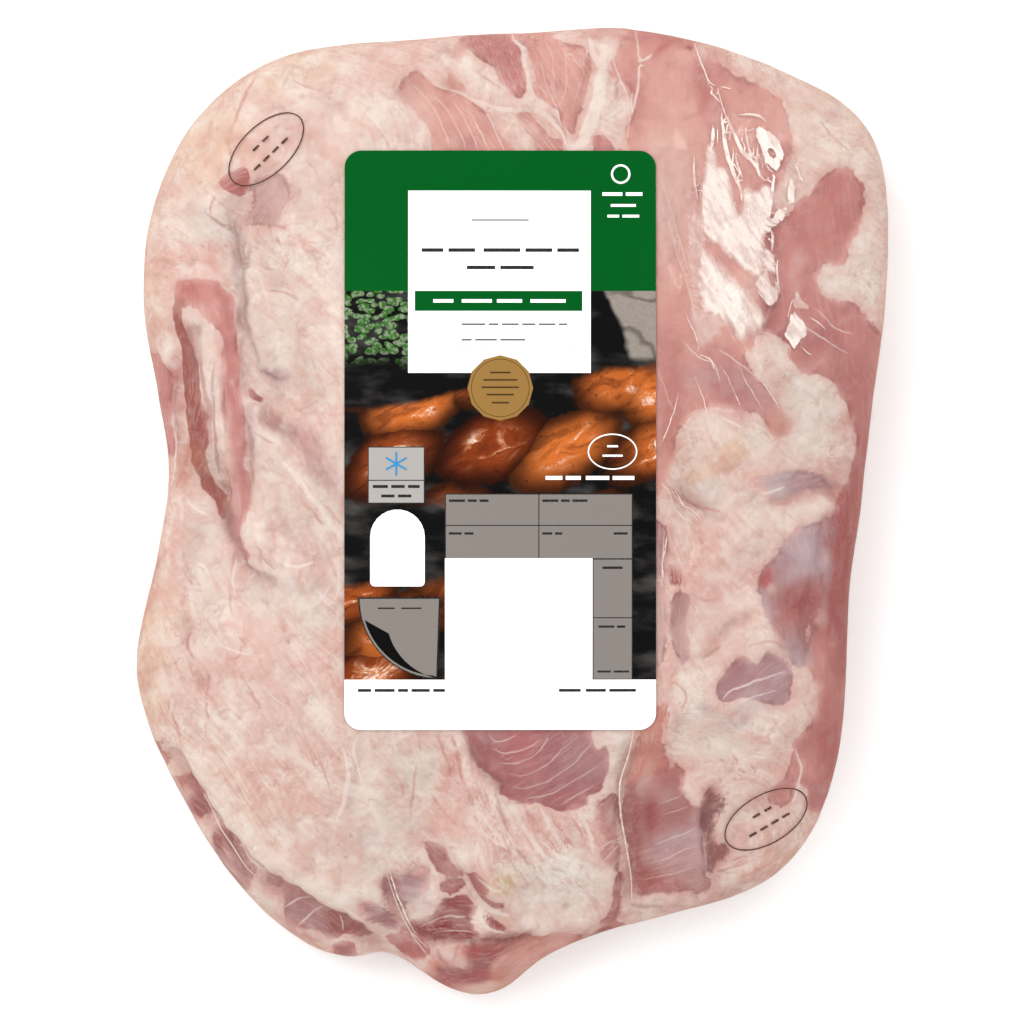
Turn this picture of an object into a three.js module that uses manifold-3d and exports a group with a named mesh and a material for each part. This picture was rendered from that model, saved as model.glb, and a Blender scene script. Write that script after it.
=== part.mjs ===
// A raw whole shoulder of lamb on the bone, in a clear bag shrunk tight round it, with a rounded paper label on top.
// Millimetres, +Z up. The pack lies on its flat underside. The origin is on that plane, under the middle of the pack.
import * as THREE from "three";
import { mergeVertices } from "three/addons/utils/BufferGeometryUtils.js";
import Module from "manifold-3d";

// Driving dimensions of the pack
const packWidth = 226;
const packLength = 291;
const rimRoundness = 3.0; // power of the curve from the crown down to the widest line
const gridAcross = 46;
const gridAlong = 58;
const gridReach = 0.87; // share of the radius that the grid on top covers
const upperRows = 5; // rows from the grid down to the widest line
const lowerRows = 5; // rows from the widest line down to the underside

// Driving dimensions of the label
const labelWidth = 93;
const labelLength = 173;
const labelX = -3.5;
const labelY = 21.6;
const labelCorner = 5;
const labelThickness = 0.5;
const labelGap = 0.35; // clearance between the bag and the label
const labelCalm = 12; // the relief fades to nothing over this distance outside the label

const halfWidth = packWidth / 2;
const halfLength = packLength / 2;

// The widest line seen from above, anticlockwise from the right, as shares of the half width and the half length
const outlineShares = [
  [0.93, 0.0], [0.96, 0.22], [0.99, 0.43], [1.0, 0.62], [0.975, 0.75], [0.9, 0.835],
  [0.76, 0.895], [0.55, 0.955], [0.4, 0.985], [0.27, 1.0], [0.05, 0.992], [-0.2, 0.979], [-0.47, 0.962],
  [-0.64, 0.93], [-0.79, 0.855], [-0.89, 0.755], [-0.965, 0.6], [-0.98, 0.42], [-0.945, 0.25],
  [-0.913, 0.08], [-0.94, -0.08], [-0.975, -0.19], [-1.0, -0.31], [-0.975, -0.42], [-0.91, -0.545],
  [-0.79, -0.7], [-0.65, -0.825], [-0.53, -0.895], [-0.43, -0.92], [-0.335, -0.91], [-0.26, -0.94],
  [-0.19, -0.978], [-0.085, -1.0], [0.0, -0.978], [0.06, -0.935], [0.2, -0.883], [0.41, -0.835],
  [0.61, -0.788], [0.72, -0.735], [0.81, -0.64], [0.87, -0.5], [0.89, -0.33], [0.9, -0.15],
];

// Height of the widest line above the ground, by direction in degrees from +X
const rimHeights = [
  [-180, 24], [-150, 21], [-130, 16], [-112, 13], [-94, 12], [-78, 15], [-55, 21], [-20, 25],
  [30, 26], [60, 27], [95, 26], [140, 26], [180, 24],
];

// How far the flat underside stays inside the widest line, by direction in degrees from +X
const undercuts = [
  [-180, 20], [-150, 22], [-120, 15], [-94, 9], [-70, 14], [-30, 17], [20, 15], [55, 20], [95, 15],
  [130, 19], [160, 16], [180, 20],
];

// Broad swells of the upper side: middle, half lengths across and along, turn in degrees and height
const crownBase = 44;
const swells = [
  { name: "shoulder joint", x: -14, y: -6, across: 74, along: 112, turn: 8, height: 16 },
  { name: "fat over the joint", x: -68, y: -54, across: 32, along: 42, turn: 20, height: 8 },
  { name: "blade side", x: 74, y: 52, across: 30, along: 62, turn: 4, height: 9 },
  { name: "fat over the blade", x: 70, y: -50, across: 24, along: 32, turn: -20, height: 8 },
  { name: "neck end", x: -20, y: 118, across: 70, along: 24, turn: 0, height: 4 },
  { name: "upper left corner", x: -88, y: 100, across: 22, along: 24, turn: 35, height: 7 },
  { name: "knuckle", x: -10, y: -131, across: 13, along: 12, turn: 0, height: 6 },
  { name: "cut muscle below the label", x: 6, y: -77, across: 19, along: 13, turn: -20, height: 3 },
  { name: "lower tendon fan", x: 4, y: -106, across: 26, along: 12, turn: 10, height: 3 },
  { name: "muscle by the lower right", x: 56, y: -98, across: 13, along: 16, turn: 0, height: 3 },
];

// Rolls of muscle and fat that stand up, and furrows that sink in between them: half width, height, and the line
const rollsAndFurrows = [
  { name: "shank", reach: 9, height: 6, line: [[-93, 62], [-92, 42], [-90, 20]] },
  { name: "red strip beside the shank", reach: 7, height: 4, line: [[-82, 60], [-80, 38], [-79, 14], [-79, -8]] },
  { name: "diagonal fat roll", reach: 7, height: 3.5, line: [[-76, 27], [-64, 10], [-52, -8]] },
  { name: "fold of fat", reach: 7, height: 3, line: [[-78, -14], [-66, -17], [-56, -24]] },
  { name: "edge of the lower fat", reach: 8, height: 3.5, line: [[-98, -82], [-82, -100], [-64, -112], [-42, -120]] },
  { name: "fat lip on the blade", reach: 8, height: 3, line: [[80, -30], [87, -44], [86, -60], [76, -70]] },
  { name: "band of fat", reach: 10, height: 3, line: [[56, 62], [72, 44], [90, 32], [104, 22]] },
  { name: "furrow beside the shank", reach: 7.5, height: -7, line: [[-80, 92], [-76, 70], [-70, 48], [-64, 34]] },
  { name: "waist", reach: 10, height: -6, line: [[-112, 12], [-102, 10], [-94, 2]] },
  { name: "furrow under the shank", reach: 7, height: -5, line: [[-92, 6], [-86, -14], [-78, -26]] },
  { name: "furrow beside the pleat", reach: 8, height: -6, line: [[47, -68], [42, -88], [42, -112], [42, -126]] },
  { name: "furrow right of the label", reach: 10, height: -4, line: [[54, 96], [57, 50], [56, 20], [52, -6]] },
  { name: "lower left pocket", reach: 9, height: -7, line: [[-106, -90], [-86, -114], [-62, -128], [-36, -136]] },
  { name: "fold above the knuckle", reach: 7, height: -5, line: [[-36, -124], [-18, -121], [0, -121], [18, -117]] },
  { name: "furrow below the blade", reach: 7, height: -4, line: [[60, -76], [68, -88], [66, -104], [62, -114]] },
  { name: "furrow across the band of fat", reach: 8, height: -3, line: [[60, 8], [76, 14], [92, 8]] },
];

function smoothStep(low, high, value) {
  const t = Math.min(1, Math.max(0, (value - low) / (high - low)));
  return t * t * (3 - 2 * t);
}

// A table of [key, value] rows read at a key, with eased steps between the rows
function readTable(rows, key) {
  const next = rows.findIndex((row) => row[0] >= key);
  if (next <= 0) return rows[Math.max(0, next)][1];
  const [low, lowValue] = rows[next - 1];
  const [high, highValue] = rows[next];
  return lowValue + (highValue - lowValue) * smoothStep(low, high, key);
}

// The radius of the widest line in every direction, from a closed smooth curve through its points
function outlineRadii(shares, steps) {
  const points = shares.map(([x, y]) => new THREE.Vector3(x * halfWidth, y * halfLength, 0));
  const curve = new THREE.CatmullRomCurve3(points, true, "centripetal");
  const samples = curve.getSpacedPoints(steps * 4).map((p) => [Math.atan2(p.y, p.x), Math.hypot(p.x, p.y)]);
  samples.sort((a, b) => a[0] - b[0]);
  const first = samples[0];
  const last = samples[samples.length - 1];
  const turn = 2 * Math.PI;
  const ring = [[last[0] - turn, last[1]], ...samples, [first[0] + turn, first[1]]];
  const radii = [];
  let at = 0;
  for (let i = 0; i <= steps; i++) {
    const angle = -Math.PI + (turn * i) / steps;
    while (ring[at + 1][0] < angle) at += 1;
    const share = (angle - ring[at][0]) / (ring[at + 1][0] - ring[at][0]);
    radii.push(ring[at][1] + (ring[at + 1][1] - ring[at][1]) * share);
  }
  return radii;
}

const radiusSteps = 720;
const radii = outlineRadii(outlineShares, radiusSteps);

function outlineRadius(angle) {
  const turn = 2 * Math.PI;
  const place = ((((angle + Math.PI) / turn) % 1) + 1) % 1 * radiusSteps;
  const low = Math.floor(place);
  return radii[low] + (radii[low + 1] - radii[low]) * (place - low);
}

// A direction in degrees, from -180 to 180
function inDegrees(angle) {
  return THREE.MathUtils.radToDeg(Math.atan2(Math.sin(angle), Math.cos(angle)));
}

function rimHeight(angle) {
  return readTable(rimHeights, inDegrees(angle));
}

// How far a place is from a line through points
function distanceToLine(x, y, line) {
  let least = Infinity;
  for (let i = 0; i + 1 < line.length; i++) {
    const [ax, ay] = line[i];
    const [dx, dy] = [line[i + 1][0] - ax, line[i + 1][1] - ay];
    const share = Math.min(1, Math.max(0, ((x - ax) * dx + (y - ay) * dy) / (dx * dx + dy * dy)));
    least = Math.min(least, Math.hypot(x - ax - share * dx, y - ay - share * dy));
  }
  return least;
}

// 0 on the label, where the bag is pulled flat, rising to 1 away from it
function offLabel(x, y) {
  const outX = Math.max(0, Math.abs(x - labelX) - labelWidth / 2);
  const outY = Math.max(0, Math.abs(y - labelY) - labelLength / 2);
  return smoothStep(0, labelCalm, Math.hypot(outX, outY));
}

function swellHeight(swell, x, y) {
  const turn = THREE.MathUtils.degToRad(swell.turn);
  const [dx, dy] = [x - swell.x, y - swell.y];
  const across = (dx * Math.cos(turn) + dy * Math.sin(turn)) / swell.across;
  const along = (dy * Math.cos(turn) - dx * Math.sin(turn)) / swell.along;
  return swell.height * Math.exp(-(across * across + along * along));
}

function relief(x, y) {
  let height = 0;
  for (const { line, reach, height: top } of rollsAndFurrows) {
    const share = distanceToLine(x, y, line) / reach;
    height += top * Math.exp(-share * share);
  }
  return height * offLabel(x, y);
}

function crownHeight(x, y) {
  return swells.reduce((sum, swell) => sum + swellHeight(swell, x, y), crownBase) + relief(x, y);
}

// The upper surface: the crown brought down to the widest line by a rounded shoulder
function topHeight(x, y) {
  const angle = Math.atan2(y, x);
  const share = Math.min(1, Math.hypot(x, y) / outlineRadius(angle));
  const fall = Math.pow(1 - Math.pow(share, rimRoundness), 1 / rimRoundness);
  const rim = rimHeight(angle);
  return rim + (crownHeight(x, y) - rim) * fall;
}

// The direction of a place on the square grid, so that the grid's corners meet the pack's corners
const cornerAngle = Math.atan2(packLength, packWidth);
function gridAngle(u, v) {
  if (Math.abs(u) >= Math.abs(v)) {
    const side = u === 0 ? 0 : cornerAngle * (v / u);
    return u >= 0 ? side : Math.PI + side;
  }
  const side = (Math.PI / 2 - cornerAngle) * (u / v);
  return (v >= 0 ? Math.PI / 2 : -Math.PI / 2) - side;
}

// The shell of the bagged shoulder: a grid on top, rows round the rim, and one flat face underneath
function makeShoulder() {
  const positions = [];
  const faces = [];
  const add = (x, y, z) => positions.push(x, y, z) / 3 - 1;
  const height = (k) => positions[3 * k + 2];
  const quad = (a, b, c, d) => {
    const level = Math.abs(height(a) - height(c)) <= Math.abs(height(b) - height(d));
    faces.push(...(level ? [a, b, c, a, c, d] : [a, b, d, b, c, d])); // the edge across runs with the folds
  };

  const grid = [];
  for (let j = 0; j <= gridAlong; j++) {
    for (let i = 0; i <= gridAcross; i++) {
      const [u, v] = [(2 * i) / gridAcross - 1, (2 * j) / gridAlong - 1];
      const angle = gridAngle(u, v);
      const reach = gridReach * Math.max(Math.abs(u), Math.abs(v)) * outlineRadius(angle);
      const [x, y] = [reach * Math.cos(angle), reach * Math.sin(angle)];
      grid.push(add(x, y, topHeight(x, y)));
    }
  }
  const at = (i, j) => grid[j * (gridAcross + 1) + i];
  for (let j = 0; j < gridAlong; j++) {
    for (let i = 0; i < gridAcross; i++) quad(at(i, j), at(i + 1, j), at(i + 1, j + 1), at(i, j + 1));
  }

  const edge = [];
  for (let i = 0; i < gridAcross; i++) edge.push([i, 0]);
  for (let j = 0; j < gridAlong; j++) edge.push([gridAcross, j]);
  for (let i = gridAcross; i > 0; i--) edge.push([i, gridAlong]);
  for (let j = gridAlong; j > 0; j--) edge.push([0, j]);
  const angles = edge.map(([i, j]) => gridAngle((2 * i) / gridAcross - 1, (2 * j) / gridAlong - 1));
  let ring = edge.map(([i, j]) => at(i, j));

  const joinRing = (next) => {
    ring.forEach((_, k) => {
      const after = (k + 1) % ring.length;
      quad(ring[k], next[k], next[after], ring[after]);
    });
    ring = next;
  };
  const startTurn = Math.acos(Math.pow(gridReach, rimRoundness / 2));
  for (let row = 1; row <= upperRows; row++) {
    const turn = startTurn * (1 - row / upperRows);
    const share = Math.pow(Math.cos(turn), 2 / rimRoundness);
    joinRing(angles.map((angle) => {
      const reach = share * outlineRadius(angle);
      const [x, y] = [reach * Math.cos(angle), reach * Math.sin(angle)];
      return add(x, y, row === upperRows ? rimHeight(angle) : topHeight(x, y));
    }));
  }
  for (let row = 1; row <= lowerRows; row++) {
    const turn = ((Math.PI / 2) * row) / lowerRows;
    joinRing(angles.map((angle) => {
      const reach = outlineRadius(angle) - readTable(undercuts, inDegrees(angle)) * (1 - Math.cos(turn));
      const lift = row === lowerRows ? 0 : rimHeight(angle) * (1 - Math.sin(turn));
      return add(reach * Math.cos(angle), reach * Math.sin(angle), lift);
    }));
  }

  const rim2d = ring.map((k) => new THREE.Vector2(positions[3 * k], positions[3 * k + 1]));
  for (const [a, b, c] of THREE.ShapeUtils.triangulateShape(rim2d, [])) faces.push(ring[a], ring[c], ring[b]);

  const geometry = new THREE.BufferGeometry();
  geometry.setAttribute("position", new THREE.Float32BufferAttribute(positions, 3));
  geometry.setIndex(faces);
  return geometry;
}

// A slab that follows the bag at the label's clearance, a little larger than the label
function makeLabelSlab() {
  const [across, along, margin] = [14, 26, 2];
  const slab = new THREE.BoxGeometry(labelWidth + margin, labelLength + margin, labelThickness, across, along, 1);
  const place = slab.getAttribute("position");
  for (let i = 0; i < place.count; i++) {
    const [x, y] = [place.getX(i) + labelX, place.getY(i) + labelY];
    const lift = labelGap + labelThickness / 2 + place.getZ(i);
    place.setXYZ(i, x, y, topHeight(x, y) + lift);
  }
  return slab;
}

// An upright block with the label's rounded outline
function makeLabelCutter() {
  const [w, l, r] = [labelWidth / 2, labelLength / 2, labelCorner];
  const shape = new THREE.Shape();
  shape.moveTo(labelX - w + r, labelY - l);
  shape.absarc(labelX + w - r, labelY - l + r, r, -Math.PI / 2, 0);
  shape.absarc(labelX + w - r, labelY + l - r, r, 0, Math.PI / 2);
  shape.absarc(labelX - w + r, labelY + l - r, r, Math.PI / 2, Math.PI);
  shape.absarc(labelX - w + r, labelY - l + r, r, Math.PI, Math.PI * 1.5);
  return new THREE.ExtrudeGeometry(shape, { depth: 2 * crownBase, bevelEnabled: false, curveSegments: 8 });
}

// A closed geometry as a manifold solid, and a manifold solid as a geometry again
function toSolid(wasm, geometry) {
  const bare = geometry.clone();
  bare.deleteAttribute("normal");
  bare.deleteAttribute("uv");
  const merged = mergeVertices(bare, 1e-4);
  const vertProperties = new Float32Array(merged.getAttribute("position").array);
  const triVerts = new Uint32Array(merged.index.array);
  return new wasm.Manifold(new wasm.Mesh({ numProp: 3, vertProperties, triVerts }));
}

function toGeometry(solid) {
  const mesh = solid.getMesh();
  const geometry = new THREE.BufferGeometry();
  geometry.setAttribute("position", new THREE.BufferAttribute(mesh.vertProperties, 3));
  geometry.setIndex(new THREE.BufferAttribute(mesh.triVerts, 1));
  return geometry;
}

const wasm = await Module();
wasm.setup();

function named(name, geometry, material) {
  const mesh = new THREE.Mesh(geometry, material);
  mesh.name = name;
  return mesh;
}

const baggedMeat = new THREE.MeshStandardMaterial({ color: 0xdfb9ac, roughness: 0.25, metalness: 0 });
const printedPaper = new THREE.MeshStandardMaterial({ color: 0xf4f2ee, roughness: 0.45, metalness: 0 });

const pack = new THREE.Group();
pack.add(named("shoulder_in_bag", makeShoulder(), baggedMeat));
const labelSolid = toSolid(wasm, makeLabelSlab()).intersect(toSolid(wasm, makeLabelCutter()));
pack.add(named("label", toGeometry(labelSolid), printedPaper));

export default pack;
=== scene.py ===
import bpy
import math
import random
import numpy as np
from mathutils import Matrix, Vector, noise


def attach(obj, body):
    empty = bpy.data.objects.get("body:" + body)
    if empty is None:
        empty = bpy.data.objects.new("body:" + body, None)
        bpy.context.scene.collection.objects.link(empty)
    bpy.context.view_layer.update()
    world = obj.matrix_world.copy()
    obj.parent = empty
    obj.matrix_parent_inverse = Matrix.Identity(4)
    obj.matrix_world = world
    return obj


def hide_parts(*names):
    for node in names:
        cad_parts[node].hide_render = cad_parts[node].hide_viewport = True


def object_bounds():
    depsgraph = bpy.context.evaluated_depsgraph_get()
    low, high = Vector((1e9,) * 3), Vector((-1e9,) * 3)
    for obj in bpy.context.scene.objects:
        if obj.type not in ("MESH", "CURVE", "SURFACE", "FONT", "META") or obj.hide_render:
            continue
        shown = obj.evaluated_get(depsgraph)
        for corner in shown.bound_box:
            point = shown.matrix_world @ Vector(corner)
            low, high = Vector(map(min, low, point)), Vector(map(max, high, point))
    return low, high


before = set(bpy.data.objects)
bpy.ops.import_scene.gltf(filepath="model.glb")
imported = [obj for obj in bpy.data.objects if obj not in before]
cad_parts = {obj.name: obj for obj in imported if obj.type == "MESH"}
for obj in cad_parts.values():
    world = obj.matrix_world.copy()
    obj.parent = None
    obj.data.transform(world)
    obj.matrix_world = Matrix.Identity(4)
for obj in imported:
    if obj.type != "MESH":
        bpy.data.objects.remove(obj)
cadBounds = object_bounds()

# All places below are in millimetres, seen from above: x to the right, y up the pack
mm = 0.001


# Small helpers for objects

def onlySelect(piece):
    bpy.ops.object.select_all(action='DESELECT')
    piece.select_set(True)
    bpy.context.view_layer.objects.active = piece


def editAll(piece, action='SELECT'):
    onlySelect(piece)
    bpy.ops.object.mode_set(mode='EDIT')
    bpy.ops.mesh.select_mode(type='FACE')
    bpy.ops.mesh.select_all(action=action)


def leaveEdit():
    bpy.ops.object.mode_set(mode='OBJECT')


def useModifier(piece, kind, **settings):             # adds one modifier and applies it
    onlySelect(piece)
    modifier = piece.modifiers.new(kind.title(), kind)
    for key, value in settings.items():
        setattr(modifier, key, value)
    bpy.ops.object.modifier_apply(modifier=modifier.name)


def readPoints(piece):
    flat = np.empty(len(piece.data.vertices) * 3, np.float32)
    piece.data.vertices.foreach_get("co", flat)
    return flat.reshape(-1, 3).astype(float) / mm


def writePoints(piece, points):
    piece.data.vertices.foreach_set("co", (points * mm).astype(np.float32).ravel())
    piece.data.update()


def readNormals(piece):
    flat = np.empty(len(piece.data.vertices) * 3, np.float32)
    piece.data.vertices.foreach_get("normal", flat)
    return flat.reshape(-1, 3).astype(float)


def addAttribute(piece, name, values):                # a number, a vector or a colour for each point
    flat = np.asarray(values, np.float32).ravel()
    kinds = {1: ("FLOAT", "value"), 3: ("FLOAT_VECTOR", "vector"), 4: ("FLOAT_COLOR", "color")}
    kind, field = kinds[len(flat) // len(piece.data.vertices)]
    made = piece.data.attributes.new(name, kind, 'POINT')
    made.data.foreach_set(field, flat)


def linear(tone):                                     # a tone in 0 to 255 as the shader's light values
    return [(c / 255 / 12.92) if c <= 10 else ((c / 255 + 0.055) / 1.055) ** 2.4 for c in tone]


def ease(low, high, value):                           # 0 below low, 1 above high, smooth between
    t = np.clip((value - low) / (high - low), 0, 1)
    return t * t * (3 - 2 * t)


# Lines and areas drawn on the pack: how far they act, in mm

lineReach = 12
areaReach = 9.0
farOff = 1e9


def smoothLine(points, closed=False, steps=4):        # a smooth curve through the points
    pts = [np.array(p, float) for p in points]
    count = len(pts)
    pick = (lambda i: pts[i % count]) if closed else (lambda i: pts[min(max(i, 0), count - 1)])
    made = []
    for i in range(count if closed else count - 1):
        a, b, c, d = pick(i - 1), pick(i), pick(i + 1), pick(i + 2)
        for k in range(steps):
            t = k / steps
            made.append(0.5 * (2 * b + (c - a) * t + (2 * a - 5 * b + 4 * c - d) * t ** 2
                               + (3 * b - 3 * c + d - a) * t ** 3))
    if not closed:
        made.append(pts[-1])
    return np.array(made)


def lineDistance(spots, points):                      # distance, share along the line, signed distance
    line = smoothLine(points)
    near = np.all((spots > line.min(0) - lineReach) & (spots < line.max(0) + lineReach), axis=1)
    x, y = spots[near, 0], spots[near, 1]
    best, along, side = np.full(len(x), farOff), np.zeros(len(x)), np.zeros(len(x))
    for i in range(len(line) - 1):
        (ax, ay), (bx, by) = line[i], line[i + 1]
        dx, dy = bx - ax, by - ay
        t = np.clip(((x - ax) * dx + (y - ay) * dy) / (dx * dx + dy * dy + 1e-9), 0, 1)
        d = np.hypot(x - ax - t * dx, y - ay - t * dy)
        closer = d < best
        best[closer] = d[closer]
        along[closer] = (i + t[closer]) / (len(line) - 1)
        turn = dx * (y - ay) - dy * (x - ax)
        side[closer] = np.where(turn[closer] < 0, -d[closer], d[closer])
    found = [np.full(len(spots), farOff), np.zeros(len(spots)), np.full(len(spots), farOff)]
    for whole, part in zip(found, (best, along, side)):
        whole[near] = part
    return found


def lineField(spots, table, shown):                   # side, distance and half width of the nearest line
    field = np.tile(np.array([areaReach, areaReach, 0.0]), (len(spots), 1))
    for width, points in table:
        away, along, side = lineDistance(spots, points)
        half = width / 2 * (1 - abs(2 * along - 1) ** 3)
        closer = half - away > field[:, 2] - field[:, 1]
        field[closer] = np.column_stack([side, away, half])[closer]
    field[:, 2] *= shown
    return np.clip(field, -areaReach, areaReach)


def areaDepth(spots, points):                         # depth inside a closed line, negative outside
    loop = smoothLine(points, closed=True)
    low, high = loop.min(0) - areaReach, loop.max(0) + areaReach
    near = np.all((spots > low) & (spots < high), axis=1)
    x, y = spots[near, 0], spots[near, 1]
    best = np.full(len(x), areaReach)
    inside = np.zeros(len(x), bool)
    for (ax, ay), (bx, by) in zip(loop, np.roll(loop, -1, axis=0)):
        dx, dy = bx - ax, by - ay
        t = np.clip(((x - ax) * dx + (y - ay) * dy) / (dx * dx + dy * dy + 1e-9), 0, 1)
        best = np.minimum(best, np.hypot(x - ax - t * dx, y - ay - t * dy))
        crosses = (ay > y) != (by > y)
        inside ^= crosses & (x < dx * (y - ay) / (dy if abs(dy) > 1e-9 else 1e-9) + ax)
    depth = np.full(len(spots), -areaReach)
    depth[near] = np.where(inside, best, -best)
    return depth


def noiseAt(points, size, seed):                      # soft random numbers in lumps of about that size
    shift = Vector((seed * 17.3, seed * 5.1, seed * 9.7))
    return np.array([noise.noise(Vector(p) / size + shift) for p in points])


def noisePair(points, sway, seed):                    # across and along; sway is its size and reach
    size, reach = sway
    return np.stack([noiseAt(points, size, seed), noiseAt(points, size, seed + 1)], 1) * reach


def ovalReach(flat, x, y, across, along, turn=0):     # 0 in the middle of an oval, 1 on its edge
    c, s = math.cos(math.radians(turn)), math.sin(math.radians(turn))
    dx, dy = flat[:, 0] - x, flat[:, 1] - y
    return ((dx * c + dy * s) / across) ** 2 + ((dy * c - dx * s) / along) ** 2


# The shell that both the film and the meat start from

shell = dict(levels=2, bottomRings=6, bottomShrink=0.84, merge=0.02, faceAngle=60, shapeAngle=80,
             bottomBelow=0.05, rimMargin=0.05)


def makeShell(name):
    piece = bpy.data.objects.new(name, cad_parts["shoulder_in_bag"].data.copy())
    bpy.context.scene.collection.objects.link(piece)
    piece.data.materials.clear()
    editAll(piece)
    bpy.ops.mesh.customdata_custom_splitnormals_clear()
    bpy.ops.mesh.remove_doubles(threshold=shell["merge"] * mm)
    bpy.ops.mesh.tris_convert_to_quads(face_threshold=math.radians(shell["faceAngle"]),
                                       shape_threshold=math.radians(shell["shapeAngle"]))
    bpy.ops.mesh.select_all(action='DESELECT')
    leaveEdit()
    for face in piece.data.polygons:
        face.select = face.normal.z < -0.999 and face.center.z < shell["bottomBelow"] * mm
    bpy.ops.object.mode_set(mode='EDIT')
    bpy.ops.mesh.dissolve_faces()
    for _ in range(shell["bottomRings"]):
        bpy.ops.mesh.extrude_region_move()
        bpy.ops.transform.resize(value=(shell["bottomShrink"],) * 2 + (1,), center_override=(0, 0, 0))
    bpy.ops.mesh.poke()
    leaveEdit()
    useModifier(piece, 'SUBSURF', levels=shell["levels"], render_levels=shell["levels"])
    bpy.ops.object.shade_smooth()
    return piece


# Where the rim is a little fuller than the solid: direction and spread in degrees, share of the radius
bulges = [(28, 10, 0.006), (67, 11, 0.007), (96, 7, 0.004), (114, 8, 0.004), (150, 20, 0.002),
          (182, 9, 0.004), (204, 9, 0.004), (237, 15, 0.009), (268, 12, 0.002), (310, 16, 0.004),
          (340, 12, 0.003)]


def fillRim(points):
    turn = np.degrees(np.arctan2(points[:, 1], points[:, 0])) % 360
    for middle, spread, share in bulges:
        away = abs((turn - middle + 180) % 360 - 180)
        points[:, :2] *= 1 + share * np.exp(-(away / spread) ** 2)[:, None]
    low, high = np.array(cadBounds)[:, :2] / mm
    points[:, :2] = np.clip(points[:, :2], low + shell["rimMargin"], high - shell["rimMargin"])
    return points


meat = makeShell("lamb_shoulder")
shellPoints = fillRim(readPoints(meat))
writePoints(meat, shellPoints)
shellNormals = readNormals(meat)
print("shell", len(meat.data.vertices), "vertices", len(meat.data.polygons), "faces")

# Tones of the meat, 0 to 255
tones = dict(
    cream=(238, 222, 211), creamGrey=(224, 212, 202), peach=(236, 209, 193), orange=(233, 198, 172),
    pinkFat=(232, 198, 188), palePink=(232, 184, 174), greyMauve=(203, 187, 187), grey=(186, 172, 170),
    salmon=(224, 168, 158), rose=(206, 140, 135), deepRose=(188, 110, 109), red=(188, 98, 95),
    darkRed=(150, 70, 72), mauve=(184, 148, 153), lavender=(194, 170, 176), plum=(174, 110, 115),
    orangePink=(210, 140, 126), yellow=(226, 202, 158), white=(246, 238, 230), brownRose=(186, 122, 114),
    wine=(164, 84, 80), darkWine=(142, 60, 60), dustyRose=(174, 119, 117), umber=(158, 82, 68),
    lilac=(180, 140, 142), rust=(196, 124, 100), dustySkin=(212, 176, 170),
    bruise=(128, 84, 86), tan=(204, 168, 128),
)

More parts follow.
